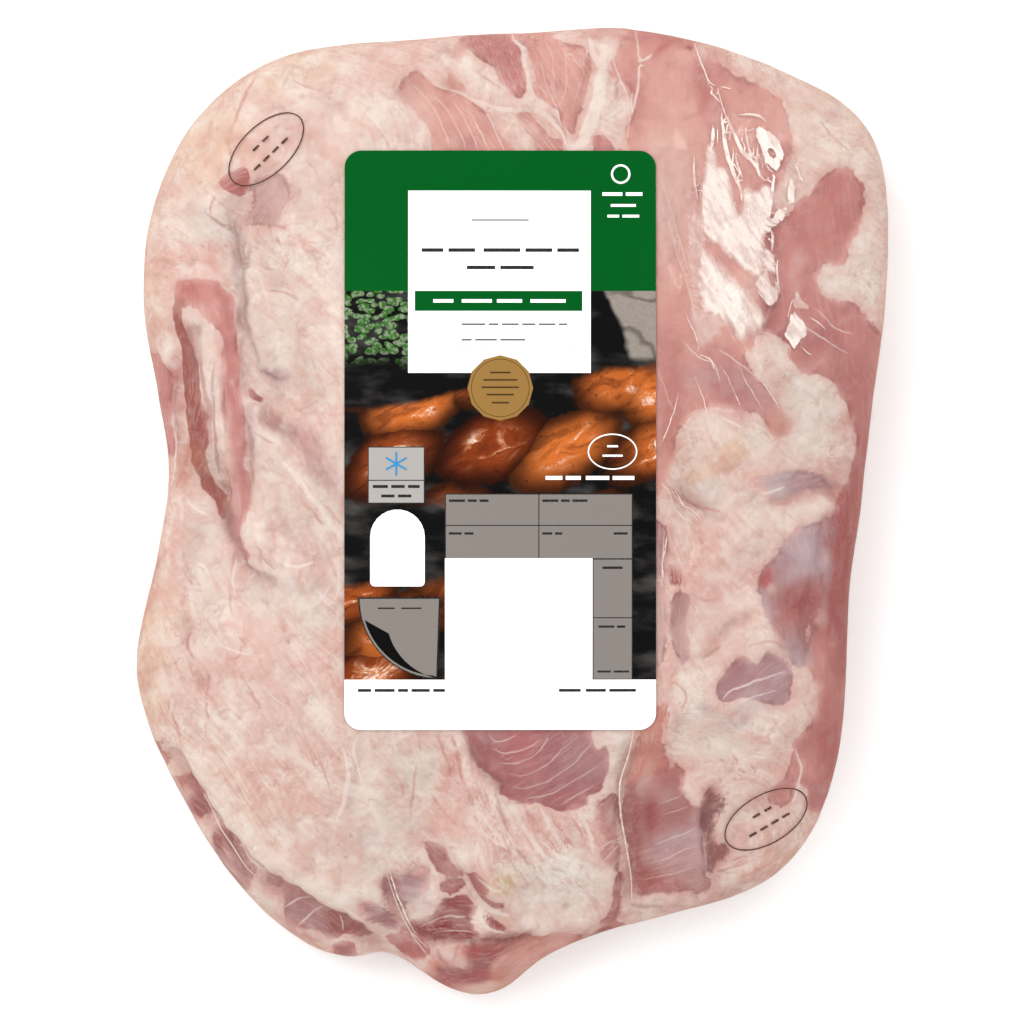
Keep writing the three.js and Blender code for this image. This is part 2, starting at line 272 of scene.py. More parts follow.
# Windows of bare muscle between the fat: tone, softness of the edge, run of the fibres in degrees,
# how strongly they show, outline
windows = [
    ("top left muscle", "salmon", 0.5, -62, 0.35, [(-34, 128.5), (-28, 133), (-24, 129.5), (-17, 126.5),
     (-11, 123), (-6, 117), (-1, 110.5), (3, 103), (-22, 103), (-24, 111), (-27, 117), (-31, 122)]),
    ("top muscle", "rose", 0.4, -60, 0.6, [(-15.5, 142.5), (-6, 146), (0, 144), (3, 137), (4.5, 131),
     (4, 125.5), (0, 124.5), (-2, 128), (-4, 131), (-8, 135), (-12, 139)]),
    ("sliver", "salmon", 0.4, -60, 0.5, [(-19, 132.5), (-17, 131), (-13.5, 126), (-19, 128.5)]),
    ("corner sliver", "palePink", 0.6, -60, 0.3, [(-18, 139), (-16, 142), (-14, 139.5), (-17, 136)]),
    ("top middle muscle", "salmon", 0.45, -62, 0.5, [(1, 145), (8, 145), (16, 141), (22, 139), (24, 135),
     (22.5, 128), (20.5, 120), (20, 114), (18, 113), (15.5, 116), (13, 120), (9, 123.5), (7, 126),
     (6, 130), (5, 135)]),
    ("strip over the label", "salmon", 0.35, -50, 0.5, [(2, 119), (5, 120), (8, 117), (11, 113.5),
     (15, 111), (15.5, 104), (9, 104), (6, 112)]),
    ("spot over the label", "rose", 0.4, -60, 0.4, [(25, 112.5), (28, 112), (31, 107), (24, 106)]),
    ("broad muscle", "salmon", 0.8, -80, 0.14, [(29.5, 131), (31, 137), (33, 143), (38, 148), (47, 147),
     (55, 144), (56, 138), (58, 136), (62.5, 135.6), (67.5, 132), (76, 127.5), (82, 121), (84, 111),
     (82.5, 103), (79, 96), (77, 88), (79, 80), (80, 70), (77, 60), (73, 52), (70, 46), (76, 38),
     (83, 29), (84, 25), (80, 22), (72, 29), (62, 31), (54, 29), (50, 22), (47, 12), (43, 5), (30, 10),
     (30, 100), (35, 108), (34, 113), (36, 122), (33, 130)]),
    ("blade muscle", "rose", 0.8, -86, 0.18, [(77, 84), (80, 87), (83, 90), (88, 94), (93, 100),
     (99, 103.5), (104, 101), (106, 95), (105.5, 88), (103, 82), (101, 76), (98, 73.5), (94, 74.5),
     (91, 70), (93, 65), (98, 63.5), (103, 62), (107, 58), (112, 52), (113, 40), (111, 25), (108, 8),
     (107, -8), (106, -25), (105, -45), (102, -62), (99, -75), (94, -90), (88, -88), (89, -84),
     (86.5, -80), (87, -75), (85, -69), (89, -65), (92, -61), (93, -55), (91, -49), (89, -44), (90, -37),
     (92, -30), (93.5, -20), (95.5, -10), (97, 0), (98.5, 4), (101, 10), (103.5, 20), (101.5, 30),
     (99, 36), (96, 40), (90, 41), (86, 43), (83, 46), (84, 50), (80, 52), (76, 56), (79, 64), (80, 72)]),
    ("blue skin", "lavender", 1.1, -86, 0.25, [(97, -2), (92, -3), (86, -5.5), (81.5, -9.5),
     (78.5, -13.5), (75.5, -15.5), (73.6, -18), (73, -22), (74.5, -28), (77, -33), (79, -36.5), (81, -41),
     (85, -47), (89, -45), (90, -38), (92, -31), (94, -25), (96, -14)]),
    ("window in the blade fat", "mauve", 0.6, 32, 0.25, [(61.5, -52), (64, -47), (68, -43), (70.5, -43),
     (71, -45), (74, -45), (77, -42), (81, -43.5), (84, -48), (84, -55), (81, -58), (76, -57.5),
     (70, -56), (66, -57), (62.5, -56)]),
    ("dark band", "greyMauve", 1.8, 10, 0.4, [(72, 9), (76, 11.5), (84, 12), (91, 12), (97, 8), (97, 5),
     (90, 6.5), (83, 3), (78, 4), (77, 6.5)]),
    ("corner muscle", "rose", 0.6, -70, 0.5, [(82, -79), (84, -74), (86, -71.5), (86.5, -78), (85, -84),
     (81, -88), (77, -87), (79, -83)]),
    ("cut muscle under the label", "plum", 0.5, 28, 0.22, [(-14.3, -60), (-14, -66), (-11.6, -75),
     (-7, -79), (-3.8, -82), (-3.2, -85.4), (2.1, -87.3), (7, -87.8), (11.7, -89.2), (18, -88.6),
     (22.3, -87.8), (22.8, -85), (27, -83.5), (29.2, -77.2), (29, -70), (26, -71.4), (23.6, -68.4),
     (23.5, -60)]),
    ("orange skin beside the pleat", "orangePink", 2.2, 88, 0.25, [(37, -58), (46, -58), (46, -68),
     (47, -76), (46, -86), (36, -88), (34, -82), (36, -74), (38, -66)]),
    ("muscle beside the pleat", "dustyRose", 0.9, 20, 0.2, [(36, -84), (47, -78), (50, -76), (52, -80),
     (51, -84), (55, -88), (61, -86), (62, -92), (60, -98), (59.5, -109), (58, -115), (46, -115),
     (37, -115.5), (36.5, -105), (34, -92)]),
    ("pale skin beside the pleat", "lilac", 0.7, 18, 0.25, [(41.5, -100.6), (46, -98.6), (52, -96.4),
     (56.4, -94.8), (58, -97), (58.6, -104), (58.8, -112.6), (55, -112.8), (49, -110.4), (44, -108.6),
     (42, -106)]),
    ("pinched edge", "bruise", 1.5, 70, 0.5, [(58.4, -84), (62.8, -83.6), (63.4, -87.4), (61.6, -91),
     (61.2, -96), (63, -99.6), (67, -101), (66.4, -103.6), (62.8, -105.6), (60.4, -109), (58.6, -108),
     (58.8, -98), (57.8, -90)]),
    ("muscle left of the pleat", "dustyRose", 1.4, 40, 0.5, [(25, -87), (30.4, -83.6), (32.5, -88),
     (33, -98), (34, -104), (33, -108), (30, -107), (26.6, -103.6), (28.6, -99), (25.6, -94)]),
    ("strip under the pleat", "wine", 0.8, 80, 0.6, [(31, -110), (34, -109), (34.5, -115), (32, -122),
     (30, -126), (27, -125.5), (30, -119), (31, -114)]),
    ("low spot one", "dustyRose", 0.8, -40, 0.6, [(-27, -99.5), (-24, -99), (-20, -101), (-19, -105),
     (-15, -109), (-18, -110.5), (-23, -107.5)]),
    ("low spot two", "wine", 0.7, -40, 0.4, [(-15, -109.6), (-12.6, -108), (-9.8, -109.4), (-7, -113.4),
     (-8, -116), (-11, -115), (-13.4, -112)]),
    ("low spot three", "darkWine", 0.5, -20, 0.6, [(-11, -116.2), (-6, -116.6), (-2.4, -118.2),
     (-2, -120), (-7, -119.6)]),
    ("low spot five", "dustyRose", 0.7, -20, 0.5, [(-21.8, -111.4), (-18.5, -110.4), (-15, -111.6),
     (-14.4, -113.8), (-18, -114.6), (-21.6, -113.6)]),
    ("low muscle", "darkWine", 0.7, 6, 0.35, [(-30, -123.4), (-27, -122), (-22.6, -119.6),
     (-20.6, -116.4), (-17, -114.8), (-13.4, -116), (-10.6, -119.5), (-11.6, -123), (-10.4, -128),
     (-20, -129), (-30, -130), (-34, -127)]),
    ("low spot four", "darkWine", 0.8, -30, 0.6, [(-8, -121), (-5, -121.5), (-1, -125), (-4, -126)]),
    ("low grey spot", "mauve", 1.4, -10, 0.4, [(-38.5, -111), (-35, -110), (-30, -108.6), (-25, -107.6),
     (-25.6, -112), (-28, -115.6), (-31, -118.4), (-33, -121.4), (-35, -119.5), (-38.5, -114)]),
    ("low mauve spot", "lilac", 1.3, -10, 0.4, [(-46.5, -119.2), (-41, -118.2), (-36, -121),
     (-33.5, -124.8), (-39, -125.2), (-43.5, -123)]),
    ("spot in the pocket", "deepRose", 1.0, -30, 0.6, [(-37, -127.6), (-31, -128.6), (-28, -130.6),
     (-25, -134), (-31, -135), (-36, -131)]),
    ("knuckle", "orangePink", 1.2, 15, 0.22, [(-23, -134), (-18, -131), (-10, -129.5), (0, -128.5),
     (10, -127), (22, -127.5), (30, -123.5), (34, -127), (10, -139), (2, -146), (-6, -151), (-20, -148),
     (-27, -140)]),
    ("knuckle shade", "darkWine", 0.9, 15, 0.5, [(-11, -130), (-7, -129), (-2, -129.2), (0.6, -130.6),
     (-2.4, -132), (-4.4, -134.6), (-8, -136.4), (-10.6, -134.4)]),
    ("knuckle red", "darkRed", 0.4, 12, 0.4, [(-22, -138.9), (-17, -139.3), (-12.6, -138.2), (-9, -136.8),
     (-7, -137.8), (-8.6, -141), (-13, -142.2), (-19, -141.8)]),
    ("pocket one", "brownRose", 0.5, -60, 0.4, [(-112, -68), (-106.6, -69.4), (-105.1, -72.4),
     (-103.8, -75), (-104.2, -77), (-108, -78)]),
    ("pocket two", "deepRose", 0.7, -52, 0.5, [(-102, -79.6), (-98.6, -80), (-97, -81.6), (-95.6, -84),
     (-94, -86), (-92.4, -88.2), (-92, -90.4), (-93.4, -92.4), (-95.6, -92.4), (-98.6, -88.4),
     (-102, -84)]),
    ("pocket three", "dustyRose", 0.45, -52, 0.5, [(-91, -97.4), (-88.8, -96.2), (-87.6, -97.6),
     (-85.8, -101), (-83.2, -104.4), (-80.6, -107.6), (-78.2, -109.4), (-78.9, -112), (-81.4, -114),
     (-86, -109), (-89.4, -103)]),
    ("pocket four", "dustySkin", 0.6, -20, 0.5, [(-75, -111), (-72.6, -110.4), (-69.8, -111.8),
     (-70.6, -113.8), (-73.8, -113.4)]),
    ("pocket five", "lilac", 0.45, -22, 0.4, [(-70.4, -114.2), (-68, -113.7), (-62, -115.7),
     (-59.6, -117.2), (-52.9, -121.1), (-47, -125), (-40.6, -129.4), (-44, -129.8), (-50, -128.2),
     (-54, -128.6), (-60, -126), (-66, -124.8), (-69.4, -120.8), (-69.2, -117.4)]),
    ("pocket shade", "darkWine", 0.3, -35, 0.4, [(-53.2, -122.6), (-50.4, -123.2), (-46.6, -125.3),
     (-40.6, -129.3), (-44.4, -130), (-49.8, -128.4), (-53, -126.6)]),
    ("red end of the pocket", "red", 0.2, -10, 0.4, [(-54.4, -130.8), (-50.2, -129.9), (-46.4, -131.2),
     (-47.8, -134), (-52.8, -134.8)]),
    ("shank", "rose", 0.55, 86, 0.30, [(-102.3, 66.5), (-101, 69.3), (-97, 70), (-92, 70.2),
     (-88.6, 69.4), (-86, 67.3), (-82.6, 64), (-81.8, 56), (-81.2, 46), (-80.6, 36), (-80.4, 26),
     (-80.2, 12), (-79.6, 3), (-80.4, -1.5), (-82.2, -4), (-82.4, -7.5), (-80.6, -11), (-79, -14),
     (-80.4, -15.6), (-83, -13), (-85.2, -9), (-86.6, -5), (-87.6, 0), (-88, 8), (-87.4, 14), (-86.2, 20),
     (-86.4, 27), (-87.6, 32), (-87.4, 42), (-87.2, 50), (-88, 53.6), (-91, 56.6), (-94, 60), (-97, 61.8),
     (-99.4, 61.4), (-101, 62.6)]),
    ("left arm of the shank", "umber", 0.2, 86, 0.35, [(-101.6, 63), (-99.4, 60.6), (-98.8, 55),
     (-97.4, 49.5), (-96.2, 45), (-95.4, 38), (-94.6, 31.5), (-92.8, 28), (-92.6, 21), (-92.6, 14),
     (-90.6, 8), (-88.2, 3), (-87.4, -2), (-89.4, 0.6), (-93, 6), (-95.4, 11), (-97.4, 16), (-98.6, 22),
     (-99.6, 30), (-100.6, 40), (-101.2, 50)]),
    ("strip at the left edge", "rose", 0.45, 84, 0.3, [(-113, 50), (-108.6, 47.4), (-106, 45.6),
     (-104, 43), (-102.8, 40), (-102.5, 34), (-102.7, 28), (-102, 22), (-101.8, 17.6), (-103.4, 17),
     (-108, 28), (-113, 40)]),
    ("small red spot", "wine", 0.3, -45, 0.6, [(-78, 38), (-76, 37), (-74, 34), (-77, 34)]),
    ("round red spot", "red", 0.3, 30, 0.4, [(-87.8, 99.5), (-84, 101.6), (-80.5, 103.2), (-78.6, 101.5),
     (-78.2, 97.5), (-79.5, 94.6), (-82.3, 93.7), (-85, 94.8), (-86.8, 97)]),
    ("grey skin", "dustySkin", 1.4, 60, 0.3, [(-79.5, 86), (-74, 85), (-70, 87), (-67, 92), (-66, 97),
     (-69, 101), (-74, 101), (-77, 98), (-79, 93)]),
    ("left stripe by the label", "mauve", 1.0, 88, 0.6, [(41, -3), (46, -4), (46.8, -17), (45, -19),
     (41, -19)]),
    ("low stripe by the label", "dustySkin", 1.6, 88, 0.6, [(41, -22), (45.4, -24), (46, -42), (44, -46),
     (41, -46)]),
    ("right stripe by the label", "lilac", 0.6, 88, 0.3, [(48, -26), (52.4, -26), (52.8, -42),
     (48.4, -43)]),
    ("spot by the label", "wine", 1.3, 88, 0.6, [(47, -16), (50, -17), (51, -22), (47, -22)]),
]

# The same for the underside, in a plainer run
underWindows = [
    ("rib side", "rose", 0.6, 80, 0.4, [(-62, 88), (-40, 96), (-18, 90), (-10, 60), (-22, 34), (-44, 28),
     (-60, 50)]),
    ("neck side", "salmon", 0.8, -20, 0.4, [(18, 104), (44, 112), (70, 92), (74, 60), (52, 48), (26, 60),
     (14, 84)]),
    ("blade side", "wine", 0.5, 60, 0.6, [(30, 24), (58, 30), (80, 8), (84, -30), (66, -52), (44, -40),
     (34, -8)]),
    ("middle", "plum", 0.6, 30, 0.6, [(-14, 12), (8, 18), (14, -6), (0, -34), (-20, -30), (-24, -6)]),
    ("shank side", "deepRose", 0.5, -50, 0.5, [(-84, 8), (-66, 6), (-58, -24), (-62, -60), (-80, -66),
     (-92, -34)]),
    ("knuckle side", "wine", 0.5, 20, 0.6, [(-40, -84), (-12, -76), (20, -84), (24, -104), (-6, -116),
     (-38, -106)]),
]

# Soft tints over fat and muscle alike, a few of them painted shade along grooves and beside folds: middle,
# half sizes, turn in degrees, tone, strength
tints = [
    (-92, 112, 26, 12, 50, "peach", 0.8), (-66, 133, 14, 5, 15, "orange", 0.8),
    (-108, 80, 8, 30, 0, "peach", 0.7), (-60, 70, 12, 30, 0, "cream", 0.8),
    # (-82, 78) greyMauve: painted shade along the groove beside the fat roll
    (-82, 78, 2.8, 22, 4, "greyMauve", 0.6), (-95, 76, 12, 5, 10, "palePink", 0.8),
    (-90, 86, 8, 4, -30, "greyMauve", 0.5), (-66, 112, 8, 12, -30, "greyMauve", 0.3),
    (-72, 112, 10, 8, 30, "palePink", 0.5), (-93, 40, 2, 20, 2, "orange", 0.3),
    (-94, 30, 3, 26, 4, "creamGrey", 0.35), (-71, 41.4, 5, 2.2, -20, "mauve", 0.95),
    # (-79, 30) greyMauve: painted shade along the groove at x -79
    (-79, 30, 2.5, 18, 0, "greyMauve", 0.8), (-66, 25.6, 7.4, 2.6, -30, "mauve", 0.85),
    (-57, 12, 3.5, 11, 35, "mauve", 0.6), (-66, 4, 14, 10, -30, "creamGrey", 0.7),
    (-64, -12, 14, 6, 0, "pinkFat", 0.6), (-94, -8, 8, 8, 0, "creamGrey", 0.8),
    (-104, -10, 4, 22, 0, "palePink", 0.6), (-68, -22, 14, 3, 0, "greyMauve", 0.5),
    (-98, -42, 3, 10, 20, "palePink", 0.8), (-108, -45, 7, 16, 0, "orange", 0.7),
    (-80, -82, 18, 12, -20, "orange", 0.55), (-72, -60, 30, 28, 0, "pinkFat", 0.7),
    (-55, -50, 14, 12, 0, "palePink", 0.35), (-62, -100, 16, 8, -30, "pinkFat", 0.6),
    (-40, -98, 14, 10, 0, "creamGrey", 0.6), (-28, -78, 10, 14, 10, "creamGrey", 0.8),
    (-16, -82, 6, 12, 10, "palePink", 0.9), (-20, -93, 9, 4, 0, "palePink", 0.9),
    (6, -100, 14, 10, -20, "pinkFat", 0.7), (14, -112, 16, 8, 0, "creamGrey", 0.9),
    (26, -98, 5, 8, 0, "palePink", 0.8), (-3, -111, 4.4, 4.4, 0, "yellow", 1.2),
    (-10, -104, 10, 5, 0, "cream", 0.7), (33, -72, 4, 9, 0, "creamGrey", 0.9),
    (14, -125, 14, 3, 10, "palePink", 0.5), (-13, -140.8, 8, 2, 8, "red", 0.9),
    (24, -127, 6, 2.2, 25, "darkRed", 0.95), (2, -138, 3, 4, 40, "deepRose", 0.6),
    (-20, -132.1, 2.6, 2.4, 0, "cream", 0.55), (-15.2, -135.8, 2.3, 2, 0, "cream", 0.65),
    (-6, -136, 5, 4, 0, "palePink", 0.5), (42.6, -80, 3, 5, 0, "rose", 0.7),
    (40, -70, 4, 12, 0, "orangePink", 0.8), (41, -91, 4, 7, 0, "red", 0.7),
    (50, -101, 8, 7, 15, "lavender", 0.8), (48, -86, 6, 3, 20, "mauve", 0.6),
    (44, -113, 7, 2.4, 12, "deepRose", 0.8), (61, -87.6, 2.6, 3.6, 0, "bruise", 0.9),
    (62.6, -103, 3, 3, 30, "bruise", 0.95), (67, -102, 3, 2, 0, "plum", 0.6),
    (75, -78, 10, 5, -10, "palePink", 0.7), (62, -66, 14, 8, 30, "creamGrey", 0.8),
    (70, -60, 9, 3, 30, "greyMauve", 0.8), (88, -56, 5, 10, 0, "peach", 0.6),
    # (57, -59) greyMauve: a small patch of painted shade
    (57, -59, 4, 2.5, 0, "greyMauve", 0.8), (74, -108, 14, 3, 18, "orange", 0.6),
    (85, -98, 8, 6, 45, "peach", 0.6), (54, -38, 6, 9, 0, "creamGrey", 0.8),
    (70, -36, 8, 8, 0, "pinkFat", 0.6), (65, -24, 4, 4, 0, "greyMauve", 0.7),
    (74, -18, 4, 4, 30, "red", 0.45), (78, -16, 6, 5, 0, "plum", 0.4), (78, 0, 18, 5, 5, "cream", 0.9),
    (60, 6, 12, 6, 10, "creamGrey", 0.7), (67.6, 7, 3, 1.0, -12, "grey", 0.95),
    (72, 2, 2.5, 1.4, 0, "grey", 0.7), (62, 20, 12, 7, 20, "peach", 0.7),
    (68, 20, 6, 3, 30, "orange", 0.7), (56, 12, 4, 2.5, 0, "orange", 0.7),
    (58, -10, 10, 10, 0, "pinkFat", 0.8), (88, 30, 9, 12, 0, "creamGrey", 0.7),
    (84, 38, 5, 2.5, -10, "grey", 0.35), (72, 36, 9, 5, -35, "mauve", 0.75),
    (59, 40, 7, 5, 0, "mauve", 0.55), (46, 42, 5, 16, 0, "rose", 0.8),
    (46, 20, 4, 12, 0, "orangePink", 0.5), (50, 105, 9, 16, 0, "palePink", 0.8),
    (58, 130, 5, 8, 30, "rose", 0.7), (46, 141, 8, 3, 0, "rose", 0.7), (36, 128, 3, 12, 8, "rose", 0.8),
    (62, 120, 3, 8, 20, "deepRose", 0.4), (78, 92, 3, 12, 0, "rose", 0.8),
    (82, 110, 3, 8, 0, "rose", 0.5), (98, 92, 6, 10, 0, "deepRose", 0.35),
    (78, 62, 4, 10, 0, "plum", 0.5), (96, 46, 8, 4, 0, "salmon", 0.6), (97, 68, 6, 4, 0, "cream", 0.6),
    (98, 115, 12, 10, -45, "peach", 0.6), (95, 118, 6, 5, 0, "creamGrey", 0.4),
    (96, -70, 5, 16, 8, "deepRose", 0.6), (106, 45, 4, 16, 0, "deepRose", 0.3),
    (2, -68, 5, 5, 0, "red", 0.5), (20, -74, 8, 8, 0, "mauve", 0.6),
    (-55.4, -123.8, 3, 1.5, -25, "wine", 0.8), (-46.6, -127.2, 5, 1.4, -28, "darkRed", 0.9),
    (-95, -89, 2.5, 3.5, 0, "red", 0.6), (-88, -99, 2.5, 4, 30, "red", 0.5),
    (-68, -117, 8, 4, -20, "plum", 0.4), (-84, -106, 8, 3, -50, "palePink", 0.4),
    (-100, -95, 3, 16, 35, "creamGrey", 0.4), (25, 136, 3, 8, 0, "palePink", 0.5),
    (29, 142, 6, 2, 0, "cream", 0.8), (-12, 133, 8, 5, -40, "cream", 0.8),
    (-40, 115, 14, 18, 0, "cream", 0.7), (4, 114, 3, 6, 30, "cream", 0.7),
    (-92, -22, 8, 14, 10, "creamGrey", 0.6), (-74, -26, 10, 6, 0, "creamGrey", 0.6),
    (-84, -50, 14, 8, 0, "palePink", 0.35), (-58, -30, 8, 10, 0, "creamGrey", 0.5),
    (-102, -30, 6, 7, 0, "peach", 0.6), (-60, -98, 14, 6, -20, "creamGrey", 0.5),
    (-48, -104, 10, 6, 0, "creamGrey", 0.6), (-42, -90, 6, 12, 0, "cream", 0.5),
    (-33, -84, 6, 14, 0, "creamGrey", 0.5), (-23, -94, 4, 5, 0, "salmon", 0.7),
    (-26, -115, 5, 4, 30, "white", 0.8), (14, -106, 14, 11, -30, "white", 0.75),
    (20, -113, 10, 6, 0, "white", 0.5), (-6, -131.5, 8, 2.6, 12, "red", 0.7),
    (-8, -144.5, 10, 2, 0, "peach", 0.8), (14, -130, 9, 2.6, 20, "salmon", 0.8),
    (0, -126, 9, 1.5, 6, "umber", 0.5), (-20, -132, 4.5, 3, 20, "pinkFat", 0.8),
    (76, -20, 2.6, 3.4, 20, "red", 0.8), (78.4, -22.6, 1.4, 1.2, 0, "cream", 0.9),
    (50, 4, 8, 1.6, -32, "orangePink", 0.6), (56, 12, 4, 2, 0, "orange", 0.8),
    (64, 15, 7, 2.4, 35, "orange", 0.8), (-96, -86, 3, 4, -50, "darkWine", 0.5),
    (-88, -100, 2.4, 3.4, -30, "darkWine", 0.8), (-56.4, -120.6, 2.6, 0.8, -30, "grey", 0.6),
    (-76, -116, 7, 3, -40, "creamGrey", 0.7), (-64, -128, 8, 2, -30, "peach", 0.7),
    (40, -91.5, 2.8, 7, -6, "darkWine", 0.9), (47.4, -78, 4, 4.4, 0, "deepRose", 0.6),
    (-92, 73, 5, 2.6, 0, "salmon", 0.6), (-84, 98, 2, 2, 0, "red", 0.5),
    (-64, 112, 4, 8, -40, "palePink", 0.6), (4, -68, 5, 4, 0, "red", 0.4),
    (102, -28, 6.5, 46, 3, "darkWine", 0.65), (97, -72, 5, 18, 10, "wine", 0.5),
    (108, 24, 5, 22, -4, "wine", 0.35), (58, 138, 13, 5, -20, "rose", 0.75),
    (42, 146, 16, 3.4, -8, "rose", 0.8), (-94.4, 26, 2.2, 5, 0, "wine", 0.8),
    (-96, 19, 1.8, 5, 0, "rust", 0.8), (-98.4, 52, 1.6, 6, 0, "dustyRose", 0.6),
    (-92.5, 38, 2.6, 16, -2, "peach", 0.6), (-88, 24, 1.8, 14, 0, "palePink", 0.7),
    (-96, 55, 2.2, 5, 10, "creamGrey", 0.8), (-107, -16, 4.5, 18, -8, "rust", 0.35),
    (-110, -46, 5, 20, 4, "orange", 0.6), (-92, -8, 9, 10, 0, "greyMauve", 0.3),
    (-62, -10, 11, 11, 0, "greyMauve", 0.3), (-94, 66, 9, 3, 0, "red", 0.35),
    (-96.5, 74, 6, 3, 0, "salmon", 0.7), (59, -18, 11, 10, 0, "salmon", 0.9),
    (60, -106, 30, 9, 14, "salmon", 0.45), (84, -88, 9, 14, 0, "salmon", 0.35),
    (-16, -84, 7, 14, 10, "salmon", 0.3), (10, -96, 16, 7, -10, "salmon", 0.4),
    (-8, -112, 10, 8, 0, "palePink", 0.5), (-94, -78, 10, 14, 30, "peach", 0.5),
    (-78, -98, 14, 8, -45, "peach", 0.5), (-20, -129.8, 18, 2, 0, "salmon", 0.4),
    (-50, -134, 12, 4, 0, "salmon", 0.6), (6, -140, 14, 5, 40, "salmon", 0.5),
    (-2, -128.4, 12, 1.6, 4, "umber", 0.8), (-98, 15, 3, 9, -8, "rust", 0.6),
    (-101.6, 36, 1.6, 16, 2, "dustyRose", 0.7), (-106, 57, 3, 12, 0, "rust", 0.3),
    (100.4, -18, 4, 26, 4, "wine", 0.5), (-62, -131, 14, 2.6, -28, "salmon", 0.7),
    (30, 143.6, 14, 2.4, -4, "rose", 0.6), (66, -114, 24, 3, 16, "dustyRose", 0.5),
    (-58, 133, 10, 6, 10, "peach", 0.6), (112, 50, 4, 26, 0, "salmon", 0.4),
    (41.6, -111.6, 5.6, 3.6, 12, "wine", 0.8), (40, -104, 3, 10, 4, "wine", 0.6),
    (49, -88.6, 6, 4.4, 24, "dustyRose", 0.7), (12, -121, 20, 4, 8, "palePink", 0.4),
    (-30, -118, 9, 5, 0, "pinkFat", 0.5), (104, 8, 5, 16, 0, "wine", 0.4),
    (-14, -141, 8, 3, 10, "red", 0.5), (-19.6, -132.3, 3.4, 2.8, 20, "pinkFat", 0.8),
    (70, -14, 8, 8, 0, "greyMauve", 0.35), (-8, -134.6, 7, 4, 10, "wine", 0.75),
    (-19, -140.8, 5, 1.8, 10, "red", 0.9), (8, -134, 8, 3, 22, "salmon", 0.7),
    (24, -127.2, 6, 1.8, 27, "darkWine", 0.95), (2, -139.6, 6, 1.4, 40, "pinkFat", 0.6),
    (-4, -130.6, 5, 1.6, 8, "dustyRose", 0.6), (-98.8, -81, 2.0, 1.5, -40, "darkWine", 0.9),
    (-95, -88, 2.0, 3.6, 30, "darkWine", 0.9), (-99, -86, 2, 3, 30, "pinkFat", 0.6),
    (-87, -99.6, 2.4, 4.2, 36, "wine", 0.7), (-82, -106, 2.4, 3.6, 40, "mauve", 0.5),
    (-57, -129.6, 8, 2, -30, "palePink", 0.6), (51.6, 137.6, 4.4, 3.4, 10, "palePink", 0.85),
    (53.4, 140.4, 1.3, 1.0, 0, "darkWine", 0.95), (57.4, 125, 2.0, 8, 12, "deepRose", 0.75),
    (45.2, 139.6, 1.2, 4, -38, "deepRose", 0.8), (66, 137, 8, 3, -24, "peach", 0.5),
    (67, 33, 9, 6, -40, "plum", 0.45), (47, 32, 5, 10, 0, "deepRose", 0.45),
    (79, 27, 3, 7, 35, "orangePink", 0.6), (62, 16, 1.4, 12, -50, "orange", 0.8),
    (87.6, -30, 8, 8.4, 10, "wine", 0.95), (75.8, -18.8, 2.6, 4.4, 20, "red", 0.95),
    # (-47.4, -80) greyMauve: painted shadow beside a fold in the fat
    (78.6, -23, 1.5, 1.2, 0, "cream", 0.9), (-47.4, -80, 1.6, 11, -8, "greyMauve", 0.55),
    (-45, -98, 8, 4, 0, "greyMauve", 0.35), (-28.4, -116.6, 3.4, 3.6, 30, "greyMauve", 0.95),
    (-36, -113, 3, 3, 0, "dustyRose", 0.7), (-90.6, -94.4, 3, 2.4, 0, "pinkFat", 0.8),
    (-100, -18, 4, 10, 10, "salmon", 0.35), (-17, -78, 3, 10, 14, "rose", 0.45),
    (-12, -90, 5, 7, 20, "salmon", 0.4), (-3, -103, 3, 3, 30, "dustyRose", 0.4),
    (81, -27, 4, 5, 20, "dustyRose", 0.6), (84, -32, 6, 5, 0, "rose", 0.6),
    (83, -39, 6, 6, 0, "lilac", 0.8), (91.5, -13, 3.4, 8, 0, "lavender", 0.8),
    (58, -32, 7, 8, 0, "dustySkin", 0.5), (62, 4, 9, 4.6, 8, "creamGrey", 0.8),
    (59.6, -97, 1.3, 6, 0, "bruise", 0.8), (-16, -136.6, 5, 2.2, 0, "pinkFat", 0.7),
    (2, -134.8, 5, 3.6, 30, "palePink", 0.8), (12, -130.6, 8, 2.4, 12, "palePink", 0.7),
    (-98.2, -82, 3, 2.2, -30, "brownRose", 0.8), (-94.6, -89, 2.2, 3, 30, "darkWine", 0.9),
    (-87, -100, 2.2, 3, 30, "darkWine", 0.6), (-63, -126.4, 7, 2.2, -30, "dustySkin", 0.9),
    (-97, 67.8, 5, 1.8, 0, "deepRose", 0.6), (-84, 60, 2.2, 6, 14, "deepRose", 0.6),
    # (-91.4, -88.4) greyMauve: painted shadow beside a fold of fat
    (-81.8, 30, 1.6, 26, 0, "deepRose", 0.6), (-91.4, -88.4, 1.9, 5.4, 32, "greyMauve", 0.9),
    (-92, 60.4, 4, 2.4, -24, "palePink", 0.75), (-86.6, 15, 1.7, 16, 0, "peach", 0.95),
    (-86.6, 40, 2, 11, 0, "brownRose", 0.9), (-93.4, 46, 2.4, 13, 2, "cream", 0.8),
    (-95.2, 26, 1.9, 7, 4, "darkWine", 0.85), (-98.8, 47, 1.6, 8, 2, "dustyRose", 0.5),
    (-103.2, 41, 1.4, 4, 6, "wine", 0.7), (-90, 108, 12, 10, 40, "orange", 0.4),
    (-3.4, -111.4, 2.6, 3, 0, "tan", 0.8), (48, 92, 7, 18, 0, "pinkFat", 0.85),
    # (0, -126.6) grey: painted shade where the fat meets the knuckle
    (47, 58, 7, 9, 0, "rose", 0.4), (4, -76, 5, 6, 0, "rose", 0.4), (0, -126.6, 12, 1.5, 6, "grey", 0.5),
